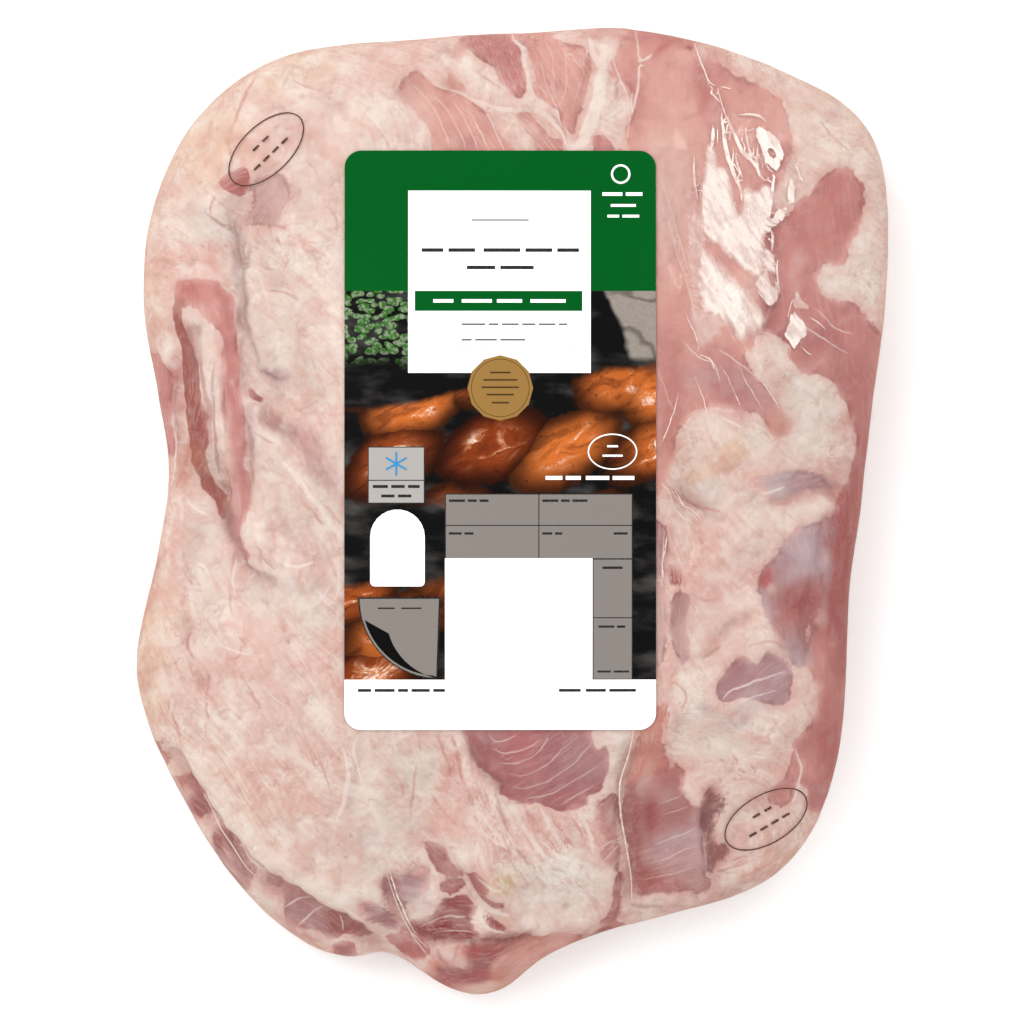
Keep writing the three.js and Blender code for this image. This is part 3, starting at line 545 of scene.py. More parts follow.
    (-31.6, -110.6, 3, 1.8, 10, "lilac", 0.8), (-30, -90, 6, 8, 0, "creamGrey", 0.6),
    (30, -122.4, 9, 2.2, 22, "dustyRose", 0.5), (-63, -126.4, 7, 2.2, -30, "brownRose", 0.9),
    (30, -101, 4, 4, 0, "palePink", 0.5), (60, -20, 6, 6, 0, "dustySkin", 0.4),
    (97.4, -30, 2, 7, 0, "darkWine", 0.5), (85, 9, 6, 4, 0, "lavender", 0.4),
    (44, -9, 2, 6, 0, "palePink", 0.6), (17, -127.6, 4, 2, 20, "palePink", 0.45),
    (-83, 18, 1.6, 9, 0, "palePink", 0.35), (-96, 28, 1.6, 6, 0, "darkWine", 0.7),
    (-102.4, 26, 1.6, 9, 0, "rose", 0.8), (-94, 48, 2, 6, 0, "cream", 0.6),
    (-15, -85, 4, 6, 0, "cream", 0.35), (14, -108, 8, 6, 0, "white", 0.6),
    (-30, -90, 7, 6, 0, "creamGrey", 0.8), (-90, 110, 9, 8, 0, "orange", 0.6),
    (63, -102.6, 2.4, 3.6, 0, "darkWine", 0.5), (-94.8, -89.4, 2.2, 3, -30, "darkRed", 0.6),
    (-4, -138.6, 4, 3, 40, "orangePink", 0.7), (92, -14, 4, 3, 0, "lavender", 0.7),
    (60, 5, 5, 4, 0, "grey", 0.3), (8, -131.4, 8, 1.6, 22, "orangePink", 0.6),
    (-9, -134.4, 2, 1, 40, "darkRed", 0.7), (88, -25, 7, 5.4, 10, "wine", 0.9),
    (-3, -111, 3.6, 3.4, 0, "tan", 1.1), (75, -50, 3, 3, 0, "plum", 0.4),
    (30, -100, 4, 5, 0, "salmon", 0.4), (45, -118, 5, 2, 15, "rose", 0.35),
    (-20, -122, 6, 3, 0, "darkWine", 0.5), (-20, -104, 2, 2.4, -40, "wine", 0.6),
    (-87, -100, 1.8, 3, -30, "darkWine", 0.8), (-65, -116, 4, 2.4, -30, "plum", 0.5),
    (26, -78, 4, 4, 0, "lilac", 0.6), (72, -49.6, 10, 4, 0, "lavender", 0.3),
    (-15, -140.8, 5, 1.0, 0, "darkRed", 0.9), (-3.4, -135.6, 3.2, 1.3, 45, "pinkFat", 0.7),
    (-8, -135.2, 2.2, 3.4, -30, "darkRed", 0.7), (-50, -124.4, 4, 1.2, -28, "darkRed", 0.8),
    (-50.4, -132.4, 3, 1.6, 0, "darkRed", 0.9), (-15.8, -137.2, 3.4, 1.5, 0, "pinkFat", 0.7),
    (-10, -144, 8, 1.3, 0, "peach", 0.8), (-3, -103.4, 2, 2.4, 30, "brownRose", 0.5),
]

# Pale veins and sinews, and a few pale lines painted as highlights on a ridge and on folds in the fat: width
# in mm and the line they follow
veins = [
    (1.4, [(-24, 129.5), (-17, 126.5), (-10, 123), (-4, 121), (3, 120.8), (8, 120.3), (12, 117.5),
     (15, 113.5), (17, 108)]),
    (1.9, [(0, 144), (3.5, 138.5), (5.3, 132), (6, 126), (7, 121)]),
    (2.4, [(23, 143), (24.5, 138), (27, 132), (25, 120), (21, 112), (17, 107)]),
    (4, [(28, 139), (27, 130), (25, 121), (22, 112), (19, 108)]),
    (0.74, [(37, 146), (38, 136), (37.5, 127), (35.5, 118), (34, 109)]),
    (0.43, [(29, 138), (32, 132), (34.5, 124), (35.5, 116)]),
    (0.37, [(8, 137), (11, 128), (13.5, 120), (15, 115)]), (0.37, [(14, 141), (19, 135)]),
    (0.31, [(16.5, 139.5), (21, 133)]), (0.87, [(38, 135), (41, 137), (42.5, 138)]),
    (0.43, [(45, 92), (49, 80), (53, 66), (55, 56)]), (0.31, [(52, 88), (56, 80), (60, 74)]),
    (0.37, [(50, 52), (56, 46), (60, 44), (62, 38)]), (0.31, [(43, 44), (47, 34), (50, 28)]),
    # the second line here: a pale ridge of fat, lightened further as a painted highlight
    (0.31, [(60, 49), (66, 45), (74, 40), (80, 32)]), (0.99, [(-68, 15), (-63, 9), (-57, 0), (-50, -9)]),
    (0.5, [(-102.4, 30), (-101.6, 20), (-101, 12)]), (0.6, [(-96, 44), (-95, 36), (-93.6, 31)]),
    (0.27, [(-7.4, -65.7), (-5, -68.6), (-0.7, -68.1), (2.5, -66.3)]),
    (0.27, [(-6.5, -70.5), (-1.7, -72.5), (5, -70.5), (8.9, -66.7)]),
    (0.3, [(-4.6, -74.4), (1.2, -75.4), (7.9, -71.9), (11.7, -65.7)]),
    (0.3, [(-3.1, -78.2), (3.1, -79), (9.8, -76.3), (15.6, -70.5), (21.3, -65.7)]),
    (0.32, [(-1.7, -82.5), (5, -82.8), (13.6, -79.2), (21.3, -72.5), (24.2, -68.6)]),
    (0.28, [(3, -86), (9.5, -85.4), (18.5, -81.2), (27, -75)]),
    (0.26, [(14, -88), (19.6, -85.2), (25.6, -81.6)]),
    (0.6, [(63, -56.5), (66, -53.4), (72, -51.2), (78, -49), (83, -48)]),
    (0.4, [(68, -57.4), (73, -55.2), (80, -53.2)]),
    (0.3, [(41.6, -100.9), (47, -98.3), (52, -96.2), (56.2, -94.9)]),
    (0.25, [(56.6, -95.2), (58.2, -99), (58.6, -106), (58.6, -112.6)]),
    (0.2, [(43, -106), (49, -102.8), (57, -100)]), (0.22, [(43, -88), (47, -86.4), (50, -85)]),
    (0.2, [(44, -91.4), (49, -89.4), (53, -88)]), (0.2, [(38, -111.4), (46, -109.6), (56, -106.6)]),
    (0.5, [(-69.4, -119.8), (-64.7, -117.9), (-59.4, -117.4)]),
    (0.5, [(-65.4, -125), (-59.8, -121.8), (-57.4, -120.6)]),
    (0.35, [(-51.2, -127.6), (-52, -125), (-52.8, -123)]),
    (0.4, [(-29, -125.6), (-21, -121.8), (-13, -121.4)]),
    (0.4, [(-26, -127.4), (-19, -125.4), (-11.6, -125.6)]),
    (0.3, [(26.6, -105.4), (30, -102.6), (34, -99.4)]), (0.28, [(26, -101), (30, -99.4), (33.6, -98)]),
    (0.28, [(29, -108), (31.6, -105.4), (34.4, -103)]),
    (0.62, [(85.6, -70.5), (87, -76), (86.4, -82), (83.6, -88)]),
    (0.9, [(-95.8, -82.2), (-92.3, -84.3), (-89.3, -90.2), (-87.2, -94.9)]),
    (0.8, [(-87.2, -94.9), (-84.2, -99.4), (-79.8, -106.2), (-77, -109)]),
    (1.1, [(-74.6, -109.8), (-66, -112.8), (-58, -115.8), (-50, -119.8), (-42.6, -126)]),
    # this line: the same pale ridge, lightened as a painted highlight; the next two: painted highlights on
    # the lit side of folds in the fat
    (1.6, [(-69, 15.5), (-66, 12), (-62, 7), (-58, 2), (-54.5, -3), (-49, -10)]),
    (1.3, [(-50.4, -70), (-49, -78), (-50.2, -86), (-52.8, -93)]),
    (0.8, [(-45.4, -66), (-47.2, -71), (-46, -77), (-43.8, -84)]),
    (0.9, [(-98.4, 4), (-95.6, 1.4), (-91.6, -0.4)]), (0.7, [(-95, -15), (-92.5, -16.2), (-90.5, -19.5)]),
    (0.5, [(-83.8, -14), (-83.4, -20), (-83.2, -26)]), (0.6, [(-91.4, 30), (-91, 18), (-90, 9)]),
    (0.9, [(-58, -23.5), (-55.8, -26.4), (-53, -29)]), (0.8, [(-52, -16), (-51.6, -22), (-53.4, -27)]),
    (0.8, [(-71, -13), (-67.6, -15.4), (-63, -16), (-58.6, -14.6)]),
    (0.7, [(-87, -40), (-83, -41.8), (-78, -42.6)]), (0.6, [(-68, -31), (-65, -35), (-60, -37.6)]),
    (0.7, [(-88.6, -51), (-85.6, -54.6), (-81, -57)]), (0.6, [(-74.6, -52), (-71.6, -55.6), (-67, -58)]),
    (0.6, [(-64, -41), (-62.4, -45), (-60.6, -47.6)]), (0.8, [(51, 26.6), (54, 24.8), (57.6, 25.4)]),
    (0.8, [(62, 28.4), (66, 26.4), (69, 24.8)]), (0.9, [(72.6, 25.6), (76, 24), (78.4, 21.6)]),
    (0.6, [(44.6, 8.4), (47, 6), (48.6, 2)]), (0.5, [(48, 2.6), (51, -1), (54, -4)]),
    (0.8, [(75, 5.6), (79, 6.6), (82, 7.6)]), (1.0, [(9, -90), (13, -96), (17.4, -104)]),
    (0.8, [(6, -104), (10, -111), (15, -117)]), (0.8, [(-12, -84), (-9, -90), (-5, -97)]),
    (0.8, [(-12, -109), (-8, -112.6), (-3, -114)]),
    (1.4, [(-15, -111), (-11, -115.6), (-7, -119.4), (0, -121.6)]),
    (1.2, [(-9.8, -118), (-9, -122), (-6, -125.4), (-1, -126.6)]),
    (0.5, [(-19, -101.5), (-18, -105), (-16, -108.5)]), (0.37, [(83, 58), (92, 53), (102, 47)]),
    (0.31, [(90, 62), (97, 56), (104, 52)]),
]

# Families of fine pale lines between two guides: how many, width, first guide, last guide
fans = [
    (5, 0.30, [(-31, 129), (-24, 121), (-19, 108)], [(-9, 121), (-6, 115), (-2, 105)]),
    (4, 0.26, [(4, 143), (7, 135), (9, 126)], [(20, 139), (20, 132), (17, 120)]),
    (4, 0.24, [(46, 100), (52, 80), (60, 56)], [(70, 48), (76, 40), (82, 30)]),
    (3, 1.2, [(-1, -87.4), (4.4, -96), (11, -106)], [(21, -90), (24, -96), (25.6, -103)]),
    (3, 1.0, [(-13, -86), (-9, -95), (-4, -101)], [(-5, -88), (-2, -95), (2, -101)]),
]

# The same, rosy: the meat between the pale strands
rosyFans = [
    (3, 1.0, [(3.4, -89), (8.6, -96), (13.4, -102.6)], [(16.4, -90.6), (19.4, -96), (21.4, -100.6)]),
    (3, 0.9, [(-18, -66), (-16, -76), (-12, -88)], [(-9, -78), (-7, -86), (-3, -95)]),
]

fanPlay = dict(seed=5, spacing=0.35, sway=0.3, thinnest=0.6, widest=1.3)


def fanLines(table):                                  # fills each fan with lines that vary a little
    chance = random.Random(fanPlay["seed"])
    made = []
    for count, width, first, last in table:
        for i in range(count):
            share = (i + chance.uniform(-fanPlay["spacing"], fanPlay["spacing"])) / (count - 1)
            line = [np.array(a) * (1 - share) + np.array(b) * share
                    + chance.uniform(-fanPlay["sway"], fanPlay["sway"]) for a, b in zip(first, last)]
            made.append((width * chance.uniform(fanPlay["thinnest"], fanPlay["widest"]), line))
    return made


# Fine rosy lines and vessels in the fat: width in mm and line
rosy = [
    (0.9, [(-85, 112), (-83, 117), (-82, 121.5), (-79.4, 127), (-77, 131)]),
    (0.6, [(-86.4, 113), (-84.6, 108), (-84, 104)]),
    (0.9, [(-88.4, 95), (-89.8, 91.5), (-90, 88.4), (-88, 86.8), (-85, 85.4)]),
    (0.5, [(-62, 106), (-59.4, 103.2), (-57.8, 101)]), (0.5, [(-72.4, 86), (-69.4, 85.2), (-66.6, 84)]),
    (0.5, [(-75.4, 75), (-73.4, 72.6), (-71, 72.4)]), (0.9, [(-68.6, 74.4), (-68, 73.4)]),
    (0.7, [(-68.8, 71.2), (-68.2, 70.2)]), (0.5, [(-70.8, 82.4), (-69.4, 79.8)]),
    (0.4, [(-73.6, 66.4), (-68, 65.6), (-64.4, 63)]), (0.5, [(-69.4, 55), (-68.2, 54.2)]),
    (0.4, [(-56, 92), (-53, 88), (-52, 84)]), (0.4, [(-66, 130), (-60, 127), (-52, 126)]),
    (0.4, [(-44, 118), (-38, 112), (-36, 106)]), (0.4, [(-58, 46), (-55, 42), (-50, 40)]),
    (0.8, [(-98.6, 36), (-98.4, 22), (-98.8, 14), (-100.2, 9.6), (-101.6, 7)]),
    (0.6, [(-99, -11), (-98.4, -13.4)]), (0.8, [(-99.2, -15), (-98, -19), (-96.2, -21.8)]),
    (1.2, [(-97.4, -36), (-97.8, -39.6), (-96, -43), (-93, -45.4)]),
    (0.7, [(-93, -45.4), (-91.4, -49), (-91.8, -56), (-91, -63)]),
    (0.6, [(-86.4, -44.4), (-82, -43.6), (-81.4, -40)]), (0.7, [(-67.4, -42.6), (-66, -46.4)]),
    (0.6, [(-79.4, -51.6), (-77, -56), (-74.8, -59.4)]),
    (0.7, [(-102.4, -60), (-100.6, -66), (-99.4, -70)]), (0.5, [(-68.4, -36.6), (-66.4, -40)]),
    (0.9, [(-63.6, 4.6), (-60, 0.4), (-56.4, -4)]), (0.8, [(-56.4, 2), (-54, 0), (-51, -4)]),
    (0.5, [(-84.6, -11), (-84.2, -18), (-84.6, -25), (-83.4, -31)]),
    (0.5, [(-75.6, -10.4), (-74.6, -14), (-71, -18)]), (0.5, [(-77, 24), (-73.6, 21.6), (-71, 21)]),
    (0.6, [(-79.6, -40), (-82, -37)]), (0.5, [(-63, -64), (-61, -70), (-58.4, -77)]),
    (0.6, [(-58.4, -70), (-57, -76), (-55, -81.6), (-53.8, -85)]),
    (0.5, [(-66.4, -64), (-64, -69.4), (-62, -74)]), (0.5, [(-92.4, -63), (-91.4, -68)]),
    (0.7, [(-28.4, -65), (-27, -71.4)]), (0.6, [(-28.4, -75), (-29.6, -83), (-30.2, -92)]),
    (0.5, [(-37, -74), (-33.4, -80), (-32.4, -86)]), (0.8, [(-27.2, -98.6), (-25.4, -100.4)]),
    (0.5, [(-80, -99.6), (-76.4, -102.4)]), (0.5, [(-78, -96.6), (-75, -97.6)]),
    (0.4, [(-60.4, -103.2), (-59, -104.4)]), (0.7, [(-22, -66), (-20, -73), (-18.4, -80)]),
    (0.7, [(-17.4, -68), (-15.6, -76), (-13, -84)]), (0.6, [(-24, -84), (-20.4, -90), (-16, -94)]),
    (0.7, [(-12.6, -81), (-9.6, -88), (-6, -94), (-1, -98)]), (0.6, [(-5, -87), (-3, -92), (-1.4, -97)]),
    (0.8, [(14, -98.6), (16, -103)]), (0.8, [(9, -99.6), (11, -101.6)]), (0.6, [(4.4, -91), (7, -96.6)]),
    (0.5, [(11.6, -91), (14.4, -96)]), (0.5, [(22, -92), (24.6, -97), (26.6, -101)]),
    (0.6, [(7.4, -105), (10, -109.6)]), (0.5, [(-6, -99.6), (-1, -101.4), (1, -104)]),
    (0.7, [(62, -74), (64, -75.6)]), (0.7, [(66.2, -73), (67.6, -75)]), (0.8, [(68, -77), (70, -78.2)]),
    (0.7, [(71.4, -75.6), (73, -77.4)]), (0.7, [(66, -80), (69, -80.6)]), (0.6, [(62, -78.6), (63, -81)]),
    (0.6, [(72, -80.6), (74.4, -79.4)]), (0.6, [(64, -84), (67.4, -85), (70, -84)]),
    (0.6, [(57, -82), (58.4, -85)]), (0.7, [(62, -109), (72, -104.4), (80, -101)]),
    (0.5, [(64, -112), (74, -107.6), (82, -104)]), (0.5, [(66, -105), (72, -101.6)]),
    (1.0, [(46, 8.4), (50, 5), (56, 2), (62, 0.4)]), (0.6, [(52, -2), (56, -8), (60, -12)]),
    (0.4, [(56, -26), (62, -26)]), (0.5, [(70, -40), (78, -39), (82, -41)]),
    (0.5, [(62, 34), (66, 33), (70, 30)]), (0.5, [(-12, 133), (-8, 130), (-3, 127)]),
    (0.4, [(-40, 136), (-32, 134), (-26, 136)]), (0.4, [(92, 118), (97, 112), (102, 108)]),
    (0.5, [(47, -50), (52, -54), (50, -60)]),
]

# Painted shade in the creases where one muscle or roll of fat meets the next: width and line
creaseShades = [
    (0.7, [(-23, -131), (-22.2, -134.4), (-20.2, -137), (-18, -138.4)]),
    (0.6, [(-17.6, -130), (-17.4, -132.4), (-18.4, -134.8)]),
    (0.6, [(-13.2, -132.4), (-12.8, -135), (-13.4, -137.2)]),
    (0.5, [(-21.6, -139.4), (-16, -140), (-10, -140.6)]),
    (0.8, [(-83, 88), (-81.5, 80), (-80, 73), (-79, 66), (-78, 58), (-76.5, 51), (-74, 45)]),
    (0.8, [(-78.5, 80), (-78.8, 72)]), (1.2, [(-75, 43), (-71.5, 41.5), (-69.5, 39.5)]),
    (0.7, [(-92, 89), (-88, 86.5), (-84, 84)]), (1.0, [(-87, 2), (-86.8, -2), (-85, -8), (-82.5, -14)]),
    (0.8, [(-82, -14), (-80, -17), (-76, -20)]),
    (1.1, [(-89.4, 46), (-90, 36), (-90.4, 24), (-89.8, 13), (-88.2, 4)]),
    (0.7, [(-102.2, 42), (-102, 30), (-100.8, 20)]), (1.4, [(-88, 2), (-87.2, -3), (-84.8, -10)]),
    (0.9, [(-98.6, 56), (-97, 47), (-95.4, 38)]), (0.6, [(-78.6, 24), (-77.4, 16), (-78.8, 8)]),
    (0.6, [(-80, 30), (-78.5, 20), (-78.5, 12), (-80, 4)]),
    (1.4, [(-15, -64), (-13, -71), (-9, -77), (-5, -81), (-3, -83.5)]),
    (0.8, [(-8, -65), (-7, -71), (-7.5, -76)]), (0.9, [(-5, -84.5), (-3, -90), (-1, -96)]),
    (0.8, [(1, -100.5), (3.5, -103), (5, -106)]), (0.7, [(0, -105), (2, -108)]),
    (0.8, [(-21, -138.8), (-15.4, -138.8), (-10, -137.2), (-6, -136)]),
    (0.6, [(-11, -130.4), (-8.4, -133), (-8, -136)]),
    (1.4, [(-26, -128.5), (-18, -129), (-9, -129.2), (0, -129), (6, -128)]),
    (0.8, [(-32, -125), (-29, -127)]), (1.2, [(36, -118.5), (41, -118.8), (46, -119)]),
    (0.9, [(62, -108.5), (66, -108.8)]), (0.9, [(-100, -81), (-98.5, -82)]),
    (1.2, [(-59, -118.6), (-52, -121.6), (-47, -125), (-42, -129)]),
    (0.9, [(-94.6, -84.4), (-91.4, -88.4), (-89, -94)]), (0.9, [(-85.4, -99.8), (-81, -106.4)]),
    (0.8, [(-87.4, -99), (-85.4, -102), (-83.4, -106)]), (0.7, [(-18, -110.5), (-14, -111.5)]),
    (0.7, [(50, 8), (54, 3), (58, 0)]), (0.8, [(56, -44), (60, -41.5), (62, -40)]),
    (0.8, [(93, 10), (96, 7)]), (1.0, [(32, 131), (31, 124)]),
    (0.6, [(12, 119), (14.5, 116), (16.5, 112)]), (0.5, [(66, 92), (67.5, 87)]),
    (0.6, [(44, -8), (44.5, -14)]), (0.7, [(44, -18), (45.5, -22)]),
    (1.2, [(59.4, -84.6), (60.6, -88), (59, -93), (60.4, -98), (60, -104), (59, -108)]),
    (1.3, [(60.4, -105), (62.8, -102.8), (66, -101.6)]), (0.9, [(61, -88.4), (64, -90)]),
    (0.5, [(-59, -95), (-58, -96)]), (0.5, [(-49, -97), (-48, -97.5)]),
]

# Grooves and lumps in the meat: half width, depth (up is negative) and line
grooves = [
    (1.9, -0.8, [(-20, -131.2), (-20, -132.6)]), (1.7, -0.7, [(-16.2, -135.3), (-15.4, -135.3)]),
    (1.5, 1.3, [(-84, 90), (-81.5, 80), (-80, 72), (-78.5, 62), (-76, 50), (-72, 43)]),
    (1.8, 1.8, [(-88, 5), (-86.5, -3), (-84, -11), (-80, -18), (-73, -21)]),
    (2.4, 2.2, [(-96, 54), (-95, 40), (-91, 22), (-88.5, 6)]),
    (1.6, 1.4, [(-79.5, 60), (-79, 40), (-78.5, 20), (-79, 2)]),
    (1.6, 1.2, [(-102.5, 56), (-101, 40), (-99.5, 22), (-98, 10)]),
    (3.5, 1.8, [(-72, 29), (-62, 22), (-56, 11), (-50, 2)]),
    (2.0, -1.0, [(-70, 17), (-60, 5), (-50, -9)]), (1.6, 1.0, [(-68, -6), (-60, -14), (-53, -13)]),
    (1.4, 0.8, [(-77, -10), (-75, -15), (-70, -16)]), (2.2, 1.2, [(-98, -34), (-98.5, -42), (-94, -52)]),
    (3.0, 2.6, [(-102, -74), (-94, -88), (-84, -101), (-74, -111), (-61, -119.5), (-48, -126.5),
     (-40, -131)]),
    (2.0, -1.2, [(-97, -72), (-89, -87), (-79, -100), (-65, -110), (-50, -116)]),
    (2.0, 2.0, [(-14, -66), (-9, -77), (-3, -84)]), (1.6, 2.2, [(-26, -128.6), (-10, -129.3), (6, -128)]),
    (3.0, 2.0, [(36, -66), (34, -84), (35, -100), (36, -116)]),
    (2.4, 1.5, [(60, -84), (60, -96), (62, -106), (60, -112)]),
    (2.0, 1.4, [(-37, -112), (-34, -122), (-28, -131)]), (1.6, 1.2, [(50, 8), (55, 3), (62, -2)]),
    (2.0, 1.2, [(72, 5), (82, 3), (92, 6), (98, 5)]),
    (2.0, 1.2, [(94, -2), (92, -18), (89, -34), (89, -46)]),
    (1.6, 1.2, [(77, 90), (80, 76), (79, 64), (76, 54)]), (2.0, 1.0, [(84, 108), (86, 98), (80, 88)]),
    (1.8, 0.9, [(30, 132), (32, 120), (33, 108)]),
    (1.6, 0.9, [(-20, 128), (-8, 123), (4, 120), (12, 117), (16, 110)]),
    (1.5, 0.8, [(-28, 112), (-31, 122), (-34, 128)]), (1.4, 0.8, [(20, 112), (21, 124), (24, 136)]),
    (2.0, 1.2, [(-20, -100), (-16, -109), (-8, -117), (0, -123)]),
    (1.6, 1.0, [(46, -22), (47, -34), (46, -44)]),
    (1.6, 1.0, [(54, -44), (60, -41), (63, -36), (72, -30)]),
]

# Frosted film where it has lifted off the meat in folds, and six small crisp near-white patches painted as
# highlights on its crinkles: strength, softness of the edge, outline and gaps
frostsAndGlints = [
    (0.75, 2.0, [(58.3, 108.5), (59.8, 109.5), (60.6, 107), (61.2, 104), (62.5, 102.8), (64, 103.2),
     (64.8, 101), (65, 98), (65.6, 94.5), (66.8, 91.5), (67.8, 89.3), (68.8, 91.2), (69.6, 94.5),
     (70.2, 97), (71.5, 96.2), (72.8, 95.5), (74.2, 96.5), (75.3, 97.8), (77.6, 97.5), (77.8, 94),
     (77.2, 90.5), (76.4, 87), (75.6, 84), (75, 81.5), (75.2, 78.5), (74.8, 75), (74.4, 71.5), (73, 70.4),
     (70.5, 72.5), (67.5, 75), (64.5, 77), (61.5, 80), (59, 81.5), (57.2, 85), (56.8, 90), (57.2, 96),
     (57.8, 101), (58.2, 105)], []),
    (0.80, 5.0, [(56, 80.4), (57.3, 77.5), (59.5, 75.5), (62, 73), (64.5, 70.8), (67, 68.5), (69.5, 65.5),
     (71.5, 62.8), (73.5, 60.5), (74.8, 57.5), (73.5, 55.3), (71, 54.6), (69.8, 53), (67.5, 52.6),
     (66.4, 54.8), (64.5, 56.5), (62, 58), (59.5, 59.5), (57, 60.5), (55.8, 63), (56, 68), (55.6, 73)],
     []),
    (0.30, 2.2, [(53.5, 90), (56, 86), (57, 80), (56, 64), (54.5, 58), (53.5, 70)], []),
    # painted highlights: this patch and the next five stand for glints on the crinkled film
    (0.92, 0.3, [(72.8, 114.8), (75, 115), (77.5, 114.2), (79.3, 112), (80.8, 109), (80.9, 106),
     (79.8, 103.5), (78.8, 102.5), (77, 104.2), (75.5, 106.8), (74.6, 109.5), (73.6, 112)], [[(76, 109.2),
     (77.6, 109.2), (79, 107.2), (78.2, 105.6), (76.9, 107)]]),
    (0.86, 0.3, [(84.5, 60.4), (86.2, 57.8), (88, 55), (88.4, 52.8), (86, 51), (84, 48.3), (83.8, 50.8),
     (81.8, 52.6), (82, 54.6), (83.2, 57.8)], []),
    (0.45, 0.6, [(84.6, 64.5), (85.6, 67.3), (86.2, 64.8), (87.6, 62.8), (88.8, 62.2), (88.6, 60.4),
     (85.8, 60.8), (84.6, 62)], []),
    (0.75, 0.4, [(83.2, 99.5), (84.6, 99.8), (85.2, 97), (84.8, 94.5), (84, 91.8), (82.8, 92.8),
     (82.7, 96)], []),
    (0.75, 0.4, [(76.8, 83.5), (78, 84.8), (79.8, 86), (81.6, 88.5), (82.6, 90.6), (81.3, 91.4),
     (79.6, 90.2), (78.2, 88), (77, 86)], []),
    (0.70, 0.7, [(75, 78.3), (77.2, 78.2), (78.3, 76), (79, 73), (79.4, 69), (79.6, 65), (78.8, 62.8),
     (77, 61.6), (75.2, 64), (74.2, 66.5), (72.5, 68.2), (73.5, 70.3), (75, 71.2), (75.6, 74.5)],
     [[(76.3, 73.5), (77.6, 74.2), (78.5, 71), (78.4, 67.2), (77.1, 69.5)]]),
    (0.28, 1.2, [(66, 23), (69, 25), (73, 25), (76, 22), (73, 20), (69, 20)], []),
    (0.28, 2.6, [(54, 59), (58, 60), (63, 57.5), (60, 52), (56, 50)], []),
]

# Fine bright pleats in the film, painted as highlights along its folds: width in mm and line
pleatGlints = [
    (0.9, [(78.9, 102.8), (78.2, 97), (77.4, 91.5), (76.8, 87)]),
    (0.7, [(74, 111.5), (73.5, 106), (74, 102), (75.5, 99.8), (77, 99.3)]),
    (0.6, [(70.2, 115.5), (70.6, 111), (71.3, 108), (73, 104.5)]),
    (0.5, [(66.6, 108), (67.4, 104), (69.4, 100)]),
    (1.2, [(64.4, 118.6), (66, 114), (68, 110), (69.6, 107), (72, 104.8), (73.4, 102.6)]),
    (1.2, [(62.6, 120), (63.2, 115), (63.8, 110), (64.8, 105.6), (66.6, 101), (68.4, 96.6), (69, 92.6)]),
    (1.0, [(59.8, 115.8), (60.1, 112), (60, 108.5)]),
    (0.4, [(68, 119), (71, 119.3), (74, 118.8), (76.4, 116.8)]),
    (0.35, [(54.5, 107), (54.6, 101), (55.5, 95)]), (0.4, [(85.2, 104), (86, 101), (86.9, 99.2)]),
    (0.8, [(77.7, 84), (78.3, 81.5), (78, 78.6)]), (0.35, [(56, 47), (59, 45.5), (60.5, 42)]),
    (0.4, [(75.5, 106), (76.8, 103.4), (78.4, 101.8)]), (0.5, [(71.5, 96), (70.8, 91), (71, 86)]),
    (0.4, [(62, 101), (61.6, 95), (62.4, 88)]), (0.35, [(74, 93), (73.8, 87), (73.2, 80)]),
    (0.4, [(79.6, 76), (79.3, 71), (79.8, 66.5)]), (0.35, [(73.4, 66.8), (75, 64.6), (76.4, 62.4)]),
    (0.3, [(57.6, 100), (57.2, 92), (57.6, 84)]), (0.35, [(82.3, 58), (83.6, 61), (84.4, 64)]),
    (0.3, [(88.6, 58.5), (92, 56.5), (95, 54)]), (0.3, [(86.6, 50), (88.4, 48), (90, 47)]),
    (0.35, [(58.4, 128), (60.2, 125), (61.8, 122)]),
    (0.35, [(54.6, 140.8), (57, 134), (59, 129), (60.8, 126)]),
    (0.3, [(62, 127.6), (64, 127.3), (66, 126.6)]),
    (0.35, [(-36.9, -106), (-35, -113), (-32, -121), (-28.5, -127.5)]),
    (0.3, [(46, -6), (45.2, -14), (44.6, -22)]), (0.3, [(48, 7), (51, 3), (57, -3)]),
    (0.3, [(50, 36), (48, 28), (44.6, 20)]), (0.25, [(52, 60), (55, 52), (56.4, 47)]),
    (0.22, [(62, 44), (66, 36), (69, 30)]), (0.22, [(67, 44.6), (71.4, 36.6), (75, 30)]),
    (0.22, [(72, 43.6), (76.6, 36.6), (81, 29.6)]), (0.2, [(54, 42), (57, 34), (58.6, 28)]),
]

# Folds of film that stand up as fine bright ridges: radius in mm and line
folds = [
    (0.30, [(36.5, -64), (35, -72), (32.3, -81), (32.5, -90), (34, -99), (35.5, -108), (36, -117)]),
    (0.17, [(-37.5, -107.5), (-36, -113), (-33, -121), (-29.5, -127.5), (-24.5, -134)]),
    (0.11, [(-33.5, -120), (-30, -126), (-25, -131)]),
    (0.22, [(54.5, 140.5), (57, 134), (59, 129), (61, 127.5)]),
    (0.2, [(61.5, 127), (63, 121.4), (64.6, 117)]), (0.18, [(85.2, 103.5), (86.5, 99.5)]),
    (0.2, [(77.2, 85), (78, 81), (77.6, 78)]),
    (0.2, [(67.5, 118.8), (71, 118.8), (74, 118.2), (76, 117)]),
    (0.16, [(69.5, 115), (71, 114), (72.5, 115)]), (0.16, [(54.5, 107), (54.8, 99), (55.6, 93)]),
    (0.18, [(79.2, 75), (79.4, 70), (79.9, 65.5)]),
    (0.22, [(-92.3, -84.3), (-89.3, -90.2), (-87.2, -94.9), (-84.2, -99.4), (-79.8, -106.2),
     (-77, -109)]),
    (0.13, [(-100.5, 26), (-101, 14), (-102.5, 7)]), (0.14, [(45.5, -6), (45, -14), (44.5, -22)]),
    (0.14, [(47.5, 7), (50, 3), (56, -3)]),
]

